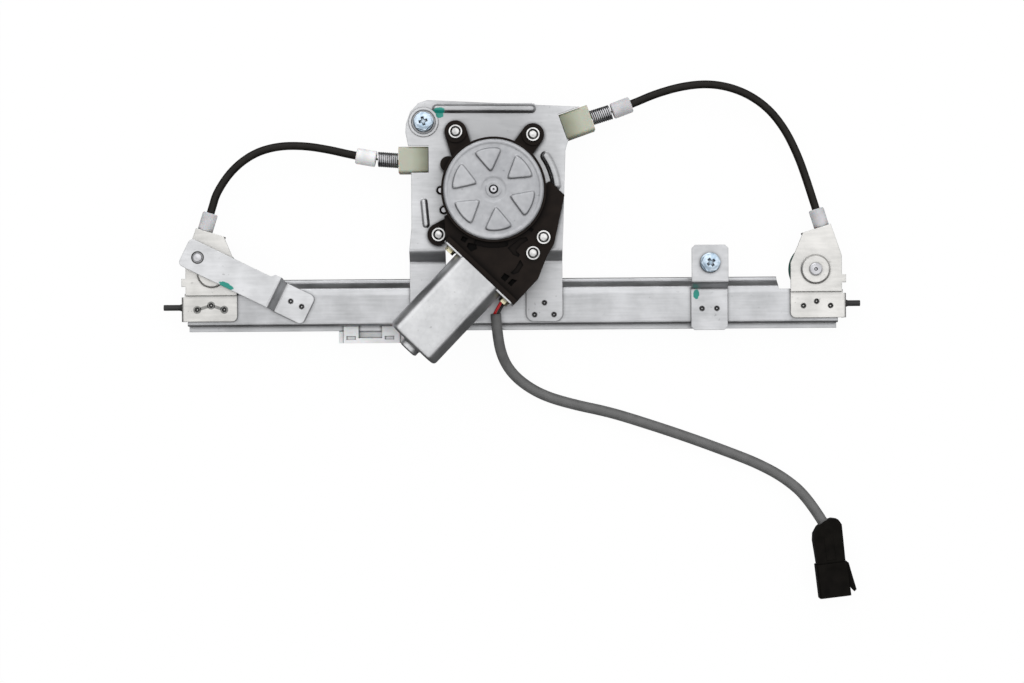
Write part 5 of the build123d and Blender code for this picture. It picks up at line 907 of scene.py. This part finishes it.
def cut_thread(work):
    """The screw thread on the shank's free end, and the plain neck above it."""
    bottom = BOLT_END + THREAD_START
    profile = [work.verts.new(mm(radius, 0, bottom + height)) for radius, height in THREAD_RIDGE]
    edges = [work.edges.new(pair) for pair in zip(profile, profile[1:])]
    turns = int((THREAD_TOP - bottom) / BOLT_LEAD)
    bmesh.ops.spin(
        work, geom=profile + edges, cent=(0, 0, 0), axis=(0, 0, 1),
        dvec=(0, 0, mm(BOLT_LEAD) / THREAD_STEPS), angle=2 * pi * turns, steps=THREAD_STEPS * turns,
    )
    neck_top = BOLT_SEAT - BOLT_END + NECK_TOP
    spun(work, ((0, 0), (BOLT_ROOT - 0.7, 0), (BOLT_ROOT, BOLT_POINT), (BOLT_ROOT, neck_top)), BOLT_END)


def make_bolts():
    """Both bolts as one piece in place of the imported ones."""
    bolts = bmesh.new()
    for place, turn in zip(BOLT_PLACES, BOLT_TURNS):
        work = bmesh.new()
        raise_hex_head(work)
        spun(work, FLANGE_PROFILE, BOLT_SEAT)
        cut_thread(work)
        merge(work)
        turned = Matrix.Translation(mm(*place, 0)) @ Matrix.Rotation(radians(turn), 4, "Z")
        bmesh.ops.transform(work, matrix=turned, verts=work.verts[:])
        pour(bolts, work)
    piece = finished(bolts, "hex_bolts", "frame", blue_zinc)
    piece.data.set_sharp_from_angle(angle=radians(SHARP_FROM))
    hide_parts("mounting_bolts")


make_bolts()
make_sleeve_mouth()
make_cover()
make_clinch_marks()
make_shade_lines()
make_pin_faces()


# Floor, world and lamps

FLOOR_SIZE = 12.0
FLOOR_WHITE = 0.965             # how much of the floor's white is seen without its shadows
FLOOR_MIRRORED = 0.10           # how bright the floor is in the metal's reflections
SKY = ((0.0, 0.30), (0.25, 0.55), (0.48, 0.90), (0.62, 1.0), (0.80, 0.98), (0.90, 0.64), (1.0, 0.55))
SKY_STRENGTH = 1.5
SKY_DARK_SIDE = 0.10            # share of the low light on the side nearest the plug
SKY_LEAN = (0.25, 0.9)          # the way to the bright side, along X and Y
SKY_SIDES = (-0.45, 0.45)       # from the dark side to the bright one
SKY_OVERHEAD = (0.52, 0.74)     # heights between which both sides become as bright
FLOOR_PALE = grey(0.92)


def make_floor():
    """The white studio floor, which keeps the object's shadow faintly."""
    work = bmesh.new()
    bmesh.ops.create_grid(work, x_segments=1, y_segments=1, size=FLOOR_SIZE / 2)
    mesh = bpy.data.meshes.new("floor")
    work.to_mesh(mesh)
    work.free()
    finish = bpy.data.materials.new("studio_floor")
    finish.use_nodes = True
    tree = finish.node_tree
    tree.nodes.remove(tree.nodes["Principled BSDF"])
    rays = add(tree, "LightPath")
    mirrored = rays.outputs["Is Glossy Ray"]
    shown = math(tree, "MULTIPLY", rays.outputs["Is Camera Ray"], FLOOR_WHITE)
    mix = add(tree, "MixShader", {
        0: math(tree, "MAXIMUM", shown, mirrored),
        1: add(tree, "BsdfDiffuse", {"Color": (*FLOOR_PALE, 1)}).outputs[0],
        2: add(tree, "Emission", {
            "Color": (1, 1, 1, 1), "Strength": spread(tree, mirrored, 0, 1, 1.0, FLOOR_MIRRORED),
        }).outputs[0],
    })
    tree.links.new(mix.outputs[0], tree.nodes["Material Output"].inputs["Surface"])
    mesh.materials.append(finish)
    floor = bpy.data.objects.new("floor", mesh)
    bpy.context.scene.collection.objects.link(floor)


def make_world():
    """Soft light from all round, stronger from above; seen by the camera it is white."""
    world = bpy.data.worlds.new("studio")
    bpy.context.scene.world = world
    world.use_nodes = True
    tree = world.node_tree
    light = tree.nodes["Background"]
    way = add(tree, "SeparateXYZ", {0: add(tree, "TexCoord").outputs["Generated"]}).outputs
    height = way[2]
    along, aside = (math(tree, "MULTIPLY", way[axis], SKY_LEAN[axis]) for axis in (0, 1))
    lit_side = spread(tree, math(tree, "ADD", aside, along), *SKY_SIDES, SKY_DARK_SIDE, 1.0)
    lit = math(tree, "MAXIMUM", lit_side, spread(tree, height, *SKY_OVERHEAD))
    level = ramp(tree, height, *[(place, grey(share)) for place, share in SKY])
    tree.links.new(shaded(tree, level, lit), light.inputs["Color"])
    light.inputs["Strength"].default_value = SKY_STRENGTH
    white = add(tree, "Background", {"Color": (1, 1, 1, 1), "Strength": 1.0})
    rays = add(tree, "LightPath")
    mix = add(tree, "MixShader", {0: rays.outputs["Is Camera Ray"], 1: light.outputs[0], 2: white.outputs[0]})
    tree.links.new(mix.outputs[0], tree.nodes["World Output"].inputs["Surface"])


def make_lamp(name, place, aim, size, power):
    """A soft rectangular lamp aimed at a point."""
    data = bpy.data.lights.new(name, "AREA")
    data.shape = "RECTANGLE"
    data.size, data.size_y = size
    data.energy = power
    lamp = bpy.data.objects.new(name, data)
    lamp.location = place
    lamp.rotation_euler = (Vector(aim) - Vector(place)).to_track_quat("-Z", "Y").to_euler()
    bpy.context.scene.collection.objects.link(lamp)


make_floor()
make_world()
make_lamp("overhead_softbox", (0.10, 0.55, 2.4), (0, -0.05, 0), (2.2, 1.2), 7.0)
make_lamp("back_strip", (-0.5, 1.5, 1.0), (0, -0.05, 0), (1.8, 0.30), 4.0)
